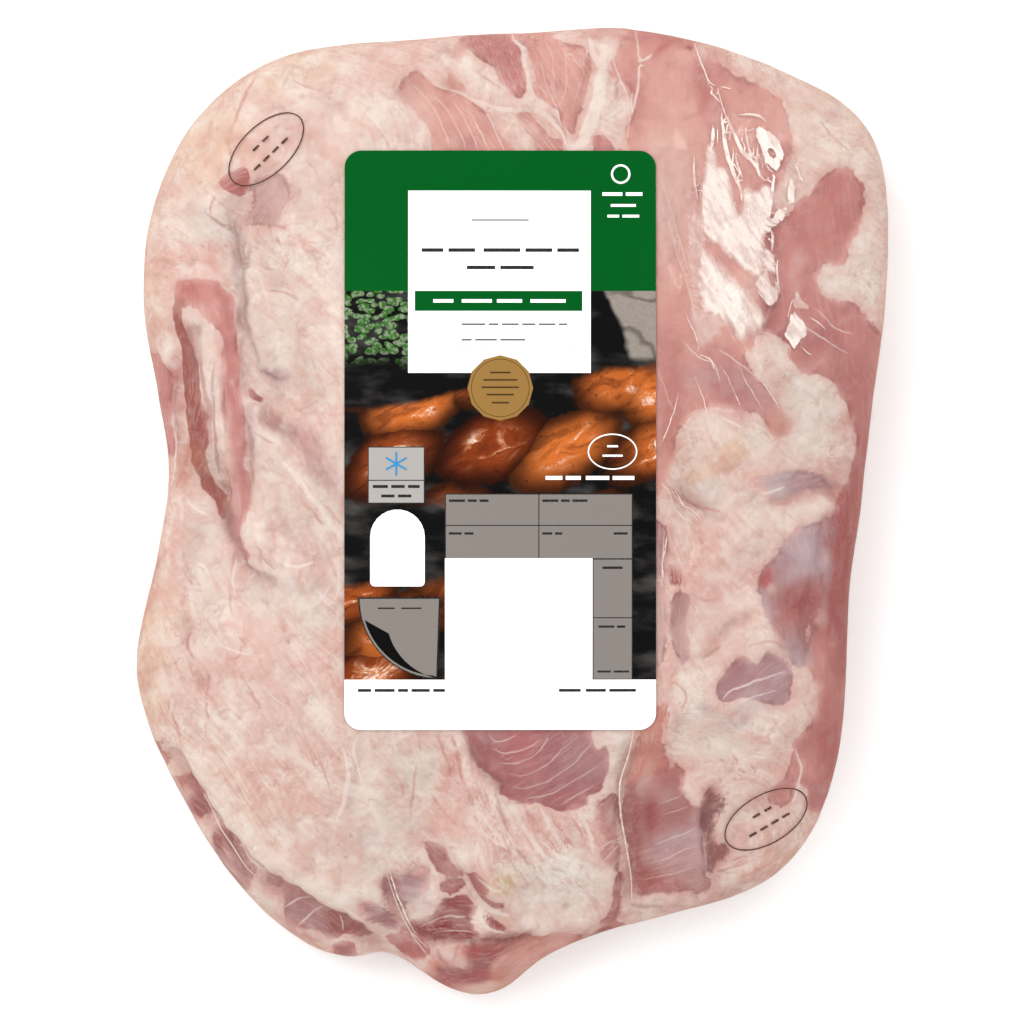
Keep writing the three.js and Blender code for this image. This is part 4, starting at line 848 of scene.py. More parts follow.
# How strongly the fibres of the fat show: middle, half sizes, strength
furrowed = [
    (-68, -62, 40, 42, 0.6), (8, -104, 32, 18, 1.0), (-84, 104, 34, 36, 0.2), (66, -20, 20, 40, 0.35),
    (74, -92, 22, 22, 0.8), (-70, 20, 30, 40, 0.3), (74, 40, 24, 20, 0.4), (96, 110, 20, 20, 0.35),
]

# What holds away from the tables; size and reach of what makes lines wander; where windows and tints fade
brush = dict(fat="pinkFat", pale="cream", muscle="rose", soft=1.0, fibre=0.4, run=-62.0, fatRun=-52.0,
             wobble=(6, 1.3), fineWobble=(2.6, 0.5), wave=(16, 3.5), drift=(48, 26), calm=0.45,
             paleSize=22, toneEdge=(-2.5, -0.5), fibreEdge=(-2.0, 0.0), underEdge=(-0.1, -0.6),
             fade=1.4, onMuscle=0.8, hide=12)


def blend(values, tone, share):                       # moves stored tones toward one of the tones above
    values += (np.array(tones[tone]) - values) * share


def drawOn(spots, rise):                              # paints the tables above at these places
    wobble = noisePair(spots, brush["wobble"], 1) + noisePair(spots, brush["fineWobble"], 3)
    flat = spots[:, :2] + wobble
    under = ease(*brush["underEdge"], rise)           # 1 on the underside
    count = len(flat)
    fatTone = np.tile(np.array(tones[brush["fat"]], float), (count, 1))
    pale = ease(-0.5, 0.5, noiseAt(spots, brush["paleSize"], 5))[:, None]
    blend(fatTone, brush["pale"], pale * 0.6 + 0.2)
    muscleTone = np.tile(np.array(tones[brush["muscle"]], float), (count, 1))
    muscle = np.full(count, -areaReach)
    soft = np.full(count, brush["soft"])
    angle = np.full(count, brush["run"])
    fibre = np.full(count, brush["fibre"])
    for x, y, across, along, strength in furrowed:
        fibre += (strength - fibre) * np.exp(-ovalReach(spots, x, y, across, along))
    for table, hidden in ((windows, under), (underWindows, 1 - under)):
        for _, tone, edge, run, strength, outline in table:
            depth = areaDepth(flat, outline) - hidden * brush["hide"]
            share = ease(*brush["toneEdge"], depth)
            blend(muscleTone, tone, share[:, None])
            soft += (edge - soft) * share
            angle[share > 0] = run
            fibre += (strength - fibre) * ease(*brush["fibreEdge"], depth)
            muscle = np.maximum(muscle, depth)
    for x, y, across, along, turn, tone, strength in tints:
        reach = ovalReach(flat, x, y, across, along, turn) ** brush["fade"]
        share = (strength * np.exp(-reach) * (1 - under))[:, None]
        blend(fatTone, tone, share)
        blend(muscleTone, tone, share * brush["onMuscle"])
    waved = spots[:, :2] + noisePair(spots, brush["wave"], 9)
    drifted = waved + noisePair(spots, brush["drift"], 11)
    calm = spots[:, :2] + wobble * brush["calm"]
    return dict(
        flat=flat, calm=calm, fatTone=fatTone, muscleTone=muscleTone,
        muscle=muscle, soft=soft, fibre=fibre,
        grain=fibreSpace(waved, angle, spots[:, 2]),
        fatGrain=fibreSpace(drifted, np.full(count, brush["fatRun"]), spots[:, 2]),
        vein=lineField(calm, veins + fanLines(fans), 1 - under),
        rosy=lineField(calm, rosy + fanLines(rosyFans), 1 - under),
        creaseShade=lineField(calm, creaseShades, 1 - under))


def fibreSpace(flat, angle, height):                  # across and along the fibres, and up
    turned = np.radians(angle)
    across = flat[:, 1] * np.cos(turned) - flat[:, 0] * np.sin(turned)
    along = flat[:, 0] * np.cos(turned) + flat[:, 1] * np.sin(turned)
    return np.stack([across, along, height + angle * 0.1], 1)


drawing = drawOn(shellPoints, shellNormals[:, 2])
print("drawn on the shell")

# The meat's own relief under the film, and the film that spans its hollows

relief = dict(clearance=0.45, rimClearance=0.4, lumps=0.9, lumpSize=13, lumpBias=0.4, pits=0.35,
              pitSize=4.5, windowDepth=0.7, windowEdge=(-1.5, 1.5), calm=10, underLabel=0.25, atRim=0.2,
              spanRounds=40, hollowRounds=(2, 40))
labelBox = dict(left=-50, right=43, bottom=-65, top=108)


def offLabel(flat):                                   # 0 under the label, 1 well away from it
    outX = np.maximum(np.maximum(labelBox["left"] - flat[:, 0], flat[:, 0] - labelBox["right"]), 0)
    outY = np.maximum(np.maximum(labelBox["bottom"] - flat[:, 1], flat[:, 1] - labelBox["top"]), 0)
    return ease(0, relief["calm"], np.hypot(outX, outY))


def meatDepth(points, normals):
    flat = drawing["flat"]
    depth = relief["windowDepth"] * ease(*relief["windowEdge"], drawing["muscle"])
    for reach, deep, line in grooves:
        away, _, _ = lineDistance(flat, line)
        depth += deep * np.exp(-(away / reach) ** 2)
    depth += relief["lumps"] * (noiseAt(points, relief["lumpSize"], 6) + relief["lumpBias"])
    depth += relief["pits"] * noiseAt(points, relief["pitSize"], 7)
    depth *= relief["underLabel"] + (1 - relief["underLabel"]) * offLabel(flat)
    depth *= relief["atRim"] + (1 - relief["atRim"]) * ease(0.05, 0.6, normals[:, 2])
    gap = relief["rimClearance"] + (1 - relief["rimClearance"]) * ease(0.0, 0.5, normals[:, 2])
    return relief["clearance"] * gap + np.maximum(depth, 0)


def averaged(piece, values, rounds, most=None):       # values shared with the neighbours, never past most
    ends = np.empty(len(piece.data.edges) * 2, np.int32)
    piece.data.edges.foreach_get("vertices", ends)
    a, b = ends.reshape(-1, 2).T
    count = np.bincount(a, minlength=len(values)) + np.bincount(b, minlength=len(values))
    for _ in range(rounds):
        values = (np.bincount(a, values[b], len(values)) + np.bincount(b, values[a], len(values))) / count
        if most is not None:
            values = np.minimum(values, most)
    return values


depth = meatDepth(shellPoints, shellNormals)
sunk = depth - relief["clearance"]
filmDepth = averaged(meat, sunk, relief["spanRounds"], sunk)    # the film spans the hollows
film = meat.copy()
film.data = meat.data.copy()
film.name = "bag_film"
bpy.context.scene.collection.objects.link(film)


def carveMeat():
    writePoints(meat, shellPoints - shellNormals * depth[:, None])
    for name in ("muscle", "soft", "fibre", "vein", "creaseShade", "rosy", "grain", "fatGrain"):
        addAttribute(meat, name, drawing[name])
    # how far the surface turns to the side, for the painted shade on the steep sides
    addAttribute(meat, "rim", 1 - shellNormals[:, 2])
    # painted shade in the hollows and painted highlight on the lumps: the depth against its wider average
    near, wide = relief["hollowRounds"]
    addAttribute(meat, "hollowShade", averaged(meat, depth, near) - averaged(meat, depth, wide))
    for name in ("fatTone", "muscleTone"):
        light = np.array([linear(tone) for tone in np.clip(drawing[name], 0, 255)])
        addAttribute(meat, name, np.column_stack([light, np.ones(len(light))]))


carveMeat()
print("meat carved")


# The film: fine crinkles where it is loose, and frost and painted highlights where it has lifted

looseFilm = dict(besideFolds=4, crinkleSize=5, lift=0.5)


def dressFilm():
    flat = drawing["calm"]
    frostAndGlint = np.tile([-areaReach, 0.0, 1.0], (len(flat), 1))     # depth inside, strength, soft edge
    for strength, edge, outline, gaps in frostsAndGlints:
        deep = areaDepth(flat, outline)
        for gap in gaps:
            deep = np.minimum(deep, -areaDepth(flat, gap))
        over = (deep > frostAndGlint[:, 0]) & (shellNormals[:, 2] > 0)
        frostAndGlint[over, 0] = deep[over]
        frostAndGlint[over, 1:] = strength, edge
    loose = ease(-3, 0.5, frostAndGlint[:, 0])
    for _, line in folds:
        away, _, _ = lineDistance(shellPoints[:, :2], line)
        loose = np.maximum(loose, np.exp(-(away / looseFilm["besideFolds"]) ** 2))
    loose *= offLabel(shellPoints[:, :2]) * ease(0.0, 0.4, shellNormals[:, 2])
    ridges = 1 - 2 * abs(noiseAt(shellPoints, looseFilm["crinkleSize"], 8))
    lift = loose * np.maximum(ridges, 0) ** 2 * looseFilm["lift"]
    writePoints(film, shellPoints - shellNormals * (filmDepth - lift)[:, None])
    addAttribute(film, "frostAndGlint", frostAndGlint)
    addAttribute(film, "pleatGlint", lineField(flat, pleatGlints, ease(0, 0.2, shellNormals[:, 2])))
    addAttribute(film, "loose", loose)


dressFilm()
print("film spans the hollows")


# Shader maths as expressions

class Wire:
    def __init__(self, tree, socket=None):
        self.tree = tree
        self.socket = socket

    def node(self, kind, settings=None, inputs=None, out=0):
        made = self.tree.nodes.new(kind)
        for key, value in (settings or {}).items():
            setattr(made, key, value)
        for key, value in (inputs or {}).items():
            if isinstance(value, Wire):
                self.tree.links.new(value.socket, made.inputs[key])
            else:
                made.inputs[key].default_value = value
        return Wire(self.tree, made.outputs[out] if made.outputs else None)

    def maths(self, operation, first, second=0.0):
        return self.node("ShaderNodeMath", {"operation": operation}, {0: first, 1: second})

    def vector(self, operation, *inputs):
        return self.node("ShaderNodeVectorMath", {"operation": operation}, dict(enumerate(inputs)))

    def __add__(self, other):
        return self.maths("ADD", self, other)

    def __radd__(self, other):
        return self.maths("ADD", other, self)

    def __sub__(self, other):
        return self.maths("SUBTRACT", self, other)

    def __rsub__(self, other):
        return self.maths("SUBTRACT", other, self)

    def __mul__(self, other):
        return self.maths("MULTIPLY", self, other)

    def __rmul__(self, other):
        return self.maths("MULTIPLY", other, self)

    def __truediv__(self, other):
        return self.maths("DIVIDE", self, other)

    def __abs__(self):
        return self.maths("ABSOLUTE", self)

    def step(self, low, high):                        # 0 below low, 1 above high, smooth between
        return self.node("ShaderNodeMapRange", {"interpolation_type": "SMOOTHSTEP"},
                         {"Value": self, "From Min": low, "From Max": high})

    def toward(self, share, colour, mode="MIX"):      # this colour mixed with another
        return self.node("ShaderNodeMix", {"data_type": "RGBA", "blend_type": mode},
                         {0: share, 6: self, 7: colour}, out=2)

    def layered(self, rows):                          # rows: pattern, its start and full, share, tone
        colour = self
        for pattern, low, high, share, tone in rows:
            colour = colour.toward(pattern.step(low, high) * share, tint(*tone))
        return colour

    def scaled(self, x, y=None, z=None):              # a place stretched along its axes
        y, z = (x, x) if y is None else (y, z)
        return self.vector("MULTIPLY", self, (x, y, z))

    def shifted(self, x, y):
        return self.vector("ADD", self, (x, y, 0))

    def bent(self, scale, detail, reach):             # a place pushed about by soft random directions
        about = self.vector("SUBTRACT", self.speckle(scale, detail, out="Color"), (0.5, 0.5, 0.5))
        return self.vector("MULTIPLY_ADD", about, reach, self)

    def turned(self, angle):                          # a place turned about the upright axis, in radians
        return self.node("ShaderNodeVectorRotate", {"rotation_type": "Z_AXIS"},
                         {"Vector": self, "Angle": angle})

    def speckle(self, scale=1.0, detail=2.0, rough=0.5, distort=0.0, out=0):
        return self.node("ShaderNodeTexNoise", None, {
            "Vector": self, "Scale": scale, "Detail": detail, "Roughness": rough, "Distortion": distort}, out)

    def attribute(self, name, out="Fac"):
        return self.node("ShaderNodeAttribute", {"attribute_name": name}, None, out)

    def axis(self, name):                             # one number of a place
        return self.node("ShaderNodeSeparateXYZ", None, {0: self}, name)

    def parts(self, name):                            # the three numbers of a stored vector
        made = self.node("ShaderNodeSeparateXYZ", None, {0: self.attribute(name, "Vector")})
        return [Wire(self.tree, out) for out in made.socket.node.outputs]

    def place(self):                                  # the place on the piece in mm
        return self.node("ShaderNodeTexCoord", None, None, "Object").scaled(1 / mm)


def tint(*tone):                                      # a fixed colour for a shader socket
    return (*linear(tone), 1.0)


def newMaterial(name):
    material = bpy.data.materials.new(name)
    material.use_nodes = True
    material.node_tree.nodes.clear()
    return material, Wire(material.node_tree)


def finishMaterial(wires, surface):
    wires.node("ShaderNodeOutputMaterial", None, {"Surface": surface})


def lineMask(wires, name, waver, blur):               # a line from its side, distance and half width
    side, away, half = wires.parts(name)
    inside = half - abs(side + waver)
    return inside.step(-blur, blur) * (half - away + 1.0).step(0.0, 0.35) * half.step(0.0, 0.12)


def bumped(wires, strength, height):
    return wires.node("ShaderNodeBump", None, {"Strength": strength, "Distance": mm, "Height": height})


# How much of the drawn tones the meat gives back, and the painted shade that darkens the steep sides towards
# the rim
meatLook = dict(light=0.625, warmth=(1, 0.965, 0.94), rim=(0.88, 0.76, 0.70, 1.0), bump=0.9)


def meatMaterial():
    material, wires = newMaterial("raw lamb")
    spot = wires.place()
    bent = spot.bent(0.09, 2, (9, 9, 9))
    muscle, soft = wires.attribute("muscle"), wires.attribute("soft")
    grain, fatGrain = wires.attribute("grain", "Vector"), wires.attribute("fatGrain", "Vector")
    broad = spot.speckle(0.055, 3, 0.5)
    lobes = bent.speckle(0.12, 4, 0.50)
    small = bent.speckle(0.55, 3, 0.55)
    fine = spot.speckle(1.6, 2, 0.6)
    fatFibre = fatGrain.scaled(0.75, 0.09, 0.3).speckle(1, 4, 0.55, 0.4)
    fatThread = fatGrain.scaled(1.6, 0.16, 0.5).speckle(1, 2, 0.6)
    strokes = fatGrain.scaled(0.30, 0.05, 0.2).speckle(1, 2, 0.5)
    strands = grain.scaled(0.8, 0.07, 0.3).speckle(1, 4, 0.6, 0.35)
    threads = grain.scaled(1.7, 0.10, 0.5).speckle(1, 2, 0.6)
    fibre = wires.attribute("fibre") * (spot.speckle(0.035, 2).step(0.35, 0.62) * 0.8 + 0.45)
    ridge = abs(bent.speckle(0.10, 4, 0.5) - 0.5)
    vessel = abs(bent.speckle(0.17, 3, 0.5) - 0.5)
    ragged = soft * 0.9 + 0.05
    edge = muscle + ((small - 0.5) * 2.6 + (strands - 0.5) * 2.6 + (lobes - 0.5) * 2.4) * ragged

    fat = wires.attribute("fatTone", "Color").layered([
        (broad, 0.50, 0.68, 0.42, (229, 184, 172)),
        (broad, 0.47, 0.33, 0.40, (250, 241, 231)),
        (lobes, 0.50, 0.64, 0.50, (250, 241, 231)),
        (lobes, 0.46, 0.34, 0.34, (222, 176, 162)),
        (strokes, 0.53, 0.66, 0.34, (218, 166, 153)),
        (fatFibre, 0.53, 0.66, fibre * 0.44, (216, 160, 148)),
        (fatFibre, 0.47, 0.36, fibre * 0.50, (252, 243, 234)),
        (fatThread, 0.54, 0.66, fibre * 0.24, (206, 150, 140)),
        (small, 0.55, 0.66, fibre * 0.34, (253, 247, 240)),
        (small, 0.45, 0.34, fibre * 0.26, (208, 158, 146)),
        (ridge, 0.018, 0.003, lobes.step(0.42, 0.56) * 0.26, (202, 152, 142)),
        (vessel, 0.012, 0.0, spot.speckle(0.045, 2).step(0.54, 0.62) * 0.5, (200, 124, 114)),
        (edge, -4.5, -0.3, 0.32, (224, 170, 162)),
    ])
    muscleTone = wires.attribute("muscleTone", "Color").layered([
        (broad, 0.50, 0.70, 0.35, (168, 98, 102)),
        (lobes, 0.52, 0.68, 0.12, (228, 178, 170)),
        (lobes, 0.47, 0.34, 0.20, (166, 94, 98)),
        (strands, 0.53, 0.66, fibre * 0.55, (238, 206, 199)),
        (strands, 0.47, 0.34, fibre * 0.55, (150, 80, 86)),
        (threads, 0.54, 0.64, fibre * 0.42, (242, 214, 208)),
        (threads, 0.46, 0.36, fibre * 0.36, (146, 80, 84)),
        (edge, 2.4, 0.2, lobes.step(0.48, 0.60) * ragged * 0.8, (230, 184, 176)),
        # painted shade: a dark band just inside the edge of each muscle, where it lies lower than the fat
        # beside it
        (edge, 1.8, 0.1, lobes.step(0.50, 0.40) * 0.45, (146, 82, 84)),
    ])
    bare = (edge / (soft * 0.6 + 0.35) + 0.5).step(0.0, 1.0)
    colour = fat.toward(bare, muscleTone)
    # painted shade: darker and warmer where the surface turns to the side, towards the rim
    colour = colour.toward(wires.attribute("rim").step(0.35, 1.0) * 0.7, meatLook["rim"], "MULTIPLY")

    waver = (small - 0.5) * 0.7 + (fine - 0.5) * 0.25
    hollowShade = wires.attribute("hollowShade")
    # painted shade darkens the hollows, painted highlight lightens the lumps
    colour = colour.layered([
        (hollowShade, 0.0, 0.9, 0.34, (170, 112, 106)),
        (hollowShade, 0.0, -0.7, 0.30, (255, 248, 240)),
    ])
    for name, blur, share, tone in (
            ("rosy", 0.5, lobes.step(0.38, 0.6) * 0.35 + 0.25, (196, 118, 108)),
            ("vein", 0.22, broad.step(0.35, 0.6) * 0.35 + 0.35, (248, 234, 226)),
            # painted shade along the creases
            ("creaseShade", 0.7, 0.5, (146, 104, 102))):
        colour = colour.toward(lineMask(wires, name, waver, blur) * share, tint(*tone))
    # Painted light and shade on the lumps: the lobes minus a copy moved a little sideways make each lump
    # lighter on one side and darker on the other, as if lit from one side; weaker over bare muscle
    paintedRelief = lobes - bent.shifted(-0.9, 0.9).speckle(0.12, 4, 0.50)
    paintedReliefShare = 1 - bare * 0.75
    colour = colour.layered([
        (fine, 0.55, 0.75, 0.10, (255, 250, 246)),
        (fine, 0.45, 0.25, 0.10, (150, 100, 96)),
        (0 - paintedRelief, 0.0, 0.14, paintedReliefShare * 0.30, (255, 250, 246)),
        (paintedRelief, 0.0, 0.14, paintedReliefShare * 0.25, (168, 108, 102)),
    ])
    light = [meatLook["light"] * part for part in meatLook["warmth"]]
    colour = colour.toward(1.0, (*light, 1.0), "MULTIPLY")

    height = spot.speckle(0.14, 2, 0.5) * 1.6
    surface = wires.node("ShaderNodeBsdfPrincipled", None, {
        "Base Color": colour, "Roughness": 0.5, "Normal": bumped(wires, meatLook["bump"], height),
        "Specular IOR Level": 0.0})
    finishMaterial(wires, surface)
    return material


filmLook = dict(tone=(227, 212, 203), bend=1.30, mostGloss=0.06, densest=0.97, streakTurn=1.05, bump=0.8)


def filmMaterial(name="clear shrink film", withFrostAndGlints=True):
    material, wires = newMaterial(name)
    spot = wires.place()
    ripple = spot.speckle(0.12, 1, 0.5) * 0.5
    if withFrostAndGlints:
        frostAndGlint = wires.parts("frostAndGlint")
        loose = wires.attribute("loose")
        crinkle = abs(spot.scaled(1, 0.45, 1).speckle(0.30, 1, 0.5) - 0.5)
        ripple = ripple + crinkle * loose * 0.35
        small = spot.speckle(0.8, 2, 0.6)
        streaks = spot.turned(filmLook["streakTurn"]).scaled(0.16, 0.55, 0.3).speckle(0.8, 3, 0.55)
        ragged = (small - 0.5) * 0.5 + (streaks - 0.5) * 2.4
        # frost veil over the meat, with the small patches painted as highlights on the crinkled film
        veil = ((frostAndGlint[0] + ragged) / frostAndGlint[2] + 0.5).step(0.0, 1.0) * frostAndGlint[1]
        veil = veil * (streaks.step(0.36, 0.62) * 0.36 + small.step(0.36, 0.62) * 0.06 + 0.60)
        # painted highlights: bright lines along the pleats of the film, broken in places
        broken = spot.speckle(0.25, 2).step(0.35, 0.6) * 0.5 + 0.35
        bright = lineMask(wires, "pleatGlint", (small - 0.5) * 0.5, 0.16) * broken
        haze = wires.maths("MAXIMUM", veil, bright) + crinkle.step(0.03, 0.0) * loose * 0.10
    else:
        haze = spot.speckle(0.5, 2).step(0.2, 0.8) * 0.36 + 0.24
    sheen = wires.node("ShaderNodeFresnel", None, {"IOR": filmLook["bend"]})
    gloss = wires.maths("MINIMUM", sheen, filmLook["mostGloss"])
    solid = wires.maths("MINIMUM", haze + gloss, filmLook["densest"])
    mirror = 1 - (haze / (solid + 0.001))
    surface = wires.node("ShaderNodeBsdfPrincipled", None, {
        "Base Color": tint(*filmLook["tone"]), "Metallic": mirror,
        "Roughness": haze.step(0.15, 0.6) * 0.4 + 0.12, "Normal": bumped(wires, filmLook["bump"], ripple)})
    clear = wires.node("ShaderNodeBsdfTransparent")
    both = wires.node("ShaderNodeMixShader", None, {0: solid, 1: clear, 2: surface})
    finishMaterial(wires, both)
    return material


meat.data.materials.append(meatMaterial())
film.data.materials.append(filmMaterial())
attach(meat, "root")
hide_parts("shoulder_in_bag")
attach(film, "root")
print("meat and film dressed")


# Laying flat shapes on the pack

def layOn(piece, target, gap):                        # drops the points of a flat piece onto the target
    useModifier(piece, 'SHRINKWRAP', target=target, wrap_method='PROJECT', use_project_z=True,
                use_negative_direction=True, use_positive_direction=True, offset=gap * mm)


def cutAcross(axis, places):                          # cuts the piece in edit mode at places along x or y
    for place in places:
        bpy.ops.mesh.select_all(action='SELECT')
        spot, facing = [0, 0, 0], [0, 0, 0]
        spot[axis], facing[axis] = place * mm, 1
        bpy.ops.mesh.bisect(plane_co=spot, plane_no=facing)


def joinPieces(pieces, name):
    bpy.ops.object.select_all(action='DESELECT')
    for piece in pieces:
        piece.select_set(True)
    bpy.context.view_layer.objects.active = pieces[0]
    if len(pieces) > 1:
        bpy.ops.object.join()
    made = bpy.context.view_layer.objects.active
    made.name = name
    return made


# Fine rounded lines that follow the surface below: folds of film, stamped ink and drawn rings

drape = dict(steps=6, fromHeight=0.2, thinEnd=0.25, swell=0.6, sides=1)


def drapeLines(name, lines, target, material, sink=0.0, closed=False, taper=True):
    pieces = []
    for radius, line in lines:
        route = smoothLine(line, closed=closed, steps=drape["steps"])
        curve = bpy.data.curves.new(name, 'CURVE')
        curve.dimensions = '3D'
        curve.bevel_depth = radius * mm
        curve.bevel_resolution = drape["sides"]
        curve.use_fill_caps = True
        spline = curve.splines.new('POLY')
        spline.use_cyclic_u = closed
        spline.points.add(len(route) - 1)
        for i, (x, y) in enumerate(route):
            hit, where, _, _ = target.ray_cast((x * mm, y * mm, drape["fromHeight"]), (0, 0, -1))
            spline.points[i].co = (x * mm, y * mm, (where.z if hit else 0) - sink * mm, 1)
            full = math.sin(math.pi * i / (len(route) - 1)) ** drape["swell"] if taper else 1.0
            spline.points[i].radius = drape["thinEnd"] + (1 - drape["thinEnd"]) * full
        piece = bpy.data.objects.new(name, curve)
        bpy.context.scene.collection.objects.link(piece)
        onlySelect(piece)
        bpy.ops.object.convert(target='MESH')
        pieces.append(bpy.context.object)
    made = joinPieces(pieces, name)
    made.data.materials.clear()
    made.data.materials.append(material)
    bpy.ops.object.shade_smooth()
    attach(made, "root")
    return made


foldPiece = drapeLines("film_folds", folds, film, filmMaterial("folded film", withFrostAndGlints=False))
print("film folds")


# The label: a thin sheet cut along the borders of its printed fields

label = dict(corner=5, cornerSteps=8, gap=0.12, thickness=0.14, pitch=4, fromHeight=0.1, dots=1.4,
             printGap=0.05, printThickness=0.06, printPitch=2, printSink=0.02)

paints = dict(
    white=(250, 250, 249), green=(0, 78, 24), ink=(22, 20, 20), grey=(122, 115, 110),
    paleGrey=(156, 152, 148), gold=(138, 104, 56), darkGold=(66, 48, 22), blue=(42, 134, 190),
    black=(12, 11, 11), softGrey=(100, 98, 96), sauce=(116, 48, 20), glazed=(182, 96, 42),
    worn=(104, 62, 54), stamped=(58, 26, 22),
)

# Printed fields, later ones over earlier ones: paint, left, right, bottom, top
fields = [
    ("white", -50, 43, -65, 108), ("picture", -50, 43, -50, 66), ("green", -50, 43, 66, 108),
    ("white", -31, 23.5, 41.5, 96), ("green", -29, 21, 60, 66), ("ink", -43, -26, 2.5, 19.5),
    ("paleGrey", -42.7, -26.3, 9.6, 19.2), ("paleGrey", -42.7, -26.3, 2.8, 9.3),
    ("ink", -20, 36, -14, 5.5), ("grey", -19.7, 7.85, -3.85, 5.2), ("grey", 8.15, 35.7, -3.85, 5.2),
    ("grey", -19.7, 7.85, -13.7, -4.15), ("grey", 8.15, 35.7, -13.7, -4.15), ("ink", 24, 36, -50, -14),
    ("grey", 24.3, 35.7, -31.4, -14.2), ("grey", 24.3, 35.7, -49.8, -31.7),
    ("white", -20, 24, -50, -13.8),
]

# Rows of plain bars on the label: paint, middle height, thickness, spans
barRows = [
    ("ink", 87.2, 0.4, [(-12, 5)]),
    ("ink", 78.2, 1.1, [(-27, -20.5), (-19, -11), (-8.5, 2.5), (4, 12), (13.5, 20)]),
    ("ink", 73, 1.1, [(-13.5, -5), (-3.5, 6.5)]),
    ("white", 63, 1.0, [(-23.5, -17.5), (-15, -6), (-4.5, 3), (5.5, 16)]),
    ("softGrey", 56, 0.6, [(-15, -8), (-7, -4), (-3, 2), (3, 7), (8, 13), (14, 16.5)]),
    ("softGrey", 51.4, 0.6, [(-15, -12), (-11, -4.5), (-3.5, 4)]),
    ("dotted", 54, 0.25, [(-15, 18.5)]), ("dotted", 49.4, 0.25, [(-15, 18.5)]),
    ("white", 95, 1.0, [(27, 33), (34, 39)]), ("white", 91.6, 0.8, [(29.5, 37)]),
    ("white", 88.4, 0.8, [(28.5, 32), (33, 38)]),
    ("white", 10.2, 1.1, [(10, 15), (16, 20.5), (22, 29), (30, 36.5)]),
    ("ink", -53.2, 0.9, [(-46, -42), (-41, -35), (-34, -31), (-30, -24.5), (-23.5, -20)]),
    ("ink", -53.2, 0.9, [(14, 20.5), (22, 28), (29, 37)]),
    ("ink", 7.6, 0.9, [(-41.5, -37), (-36, -32), (-31, -27.5)]),
    ("ink", 4.8, 0.9, [(-39, -35), (-34, -30)]),
    ("ink", 3.4, 0.7, [(-18.8, -14), (-13.2, -10.5), (-9.7, -7)]),
    ("ink", 3.4, 0.7, [(9, 13.8), (14.6, 17.2), (18, 22.5)]),
    ("ink", -6.4, 0.7, [(-18.8, -15), (-14.2, -11.5)]), ("ink", -6.4, 0.7, [(9, 12), (12.8, 15)]),
    ("ink", -6.4, 0.7, [(30.3, 34.5)]), ("ink", -16.6, 0.7, [(27, 33)]),
    ("ink", -34.2, 0.7, [(25.8, 30.5), (31.3, 33.8)]), ("ink", -47.6, 0.6, [(25.5, 29.6), (30.4, 35)]),
]


def paintMaterial(name):
    material, wires = newMaterial("print " + name)
    if name == "picture":
        colour = pictureColour(wires)
    elif name == "dotted":
        dots = wires.maths("FRACT", wires.place().axis("X") * label["dots"])
        colour = mixOf(wires, dots.step(0.45, 0.5), "white", "softGrey")
    else:
        grain = wires.place().speckle(2.0, 3).step(0.3, 0.7) * 0.03
        colour = mixOf(wires, grain, name, "white" if name == "ink" else "ink")
    surface = wires.node("ShaderNodeBsdfPrincipled", None, {
        "Base Color": colour, "Roughness": 0.45, "Specular IOR Level": 0.02})
    finishMaterial(wires, surface)
    return material


def mixOf(wires, share, first, second):               # between two of the paints
    return wires.node("ShaderNodeMix", {"data_type": "RGBA"},
                      {0: share, 6: tint(*paints[first]), 7: tint(*paints[second])}, out=2)


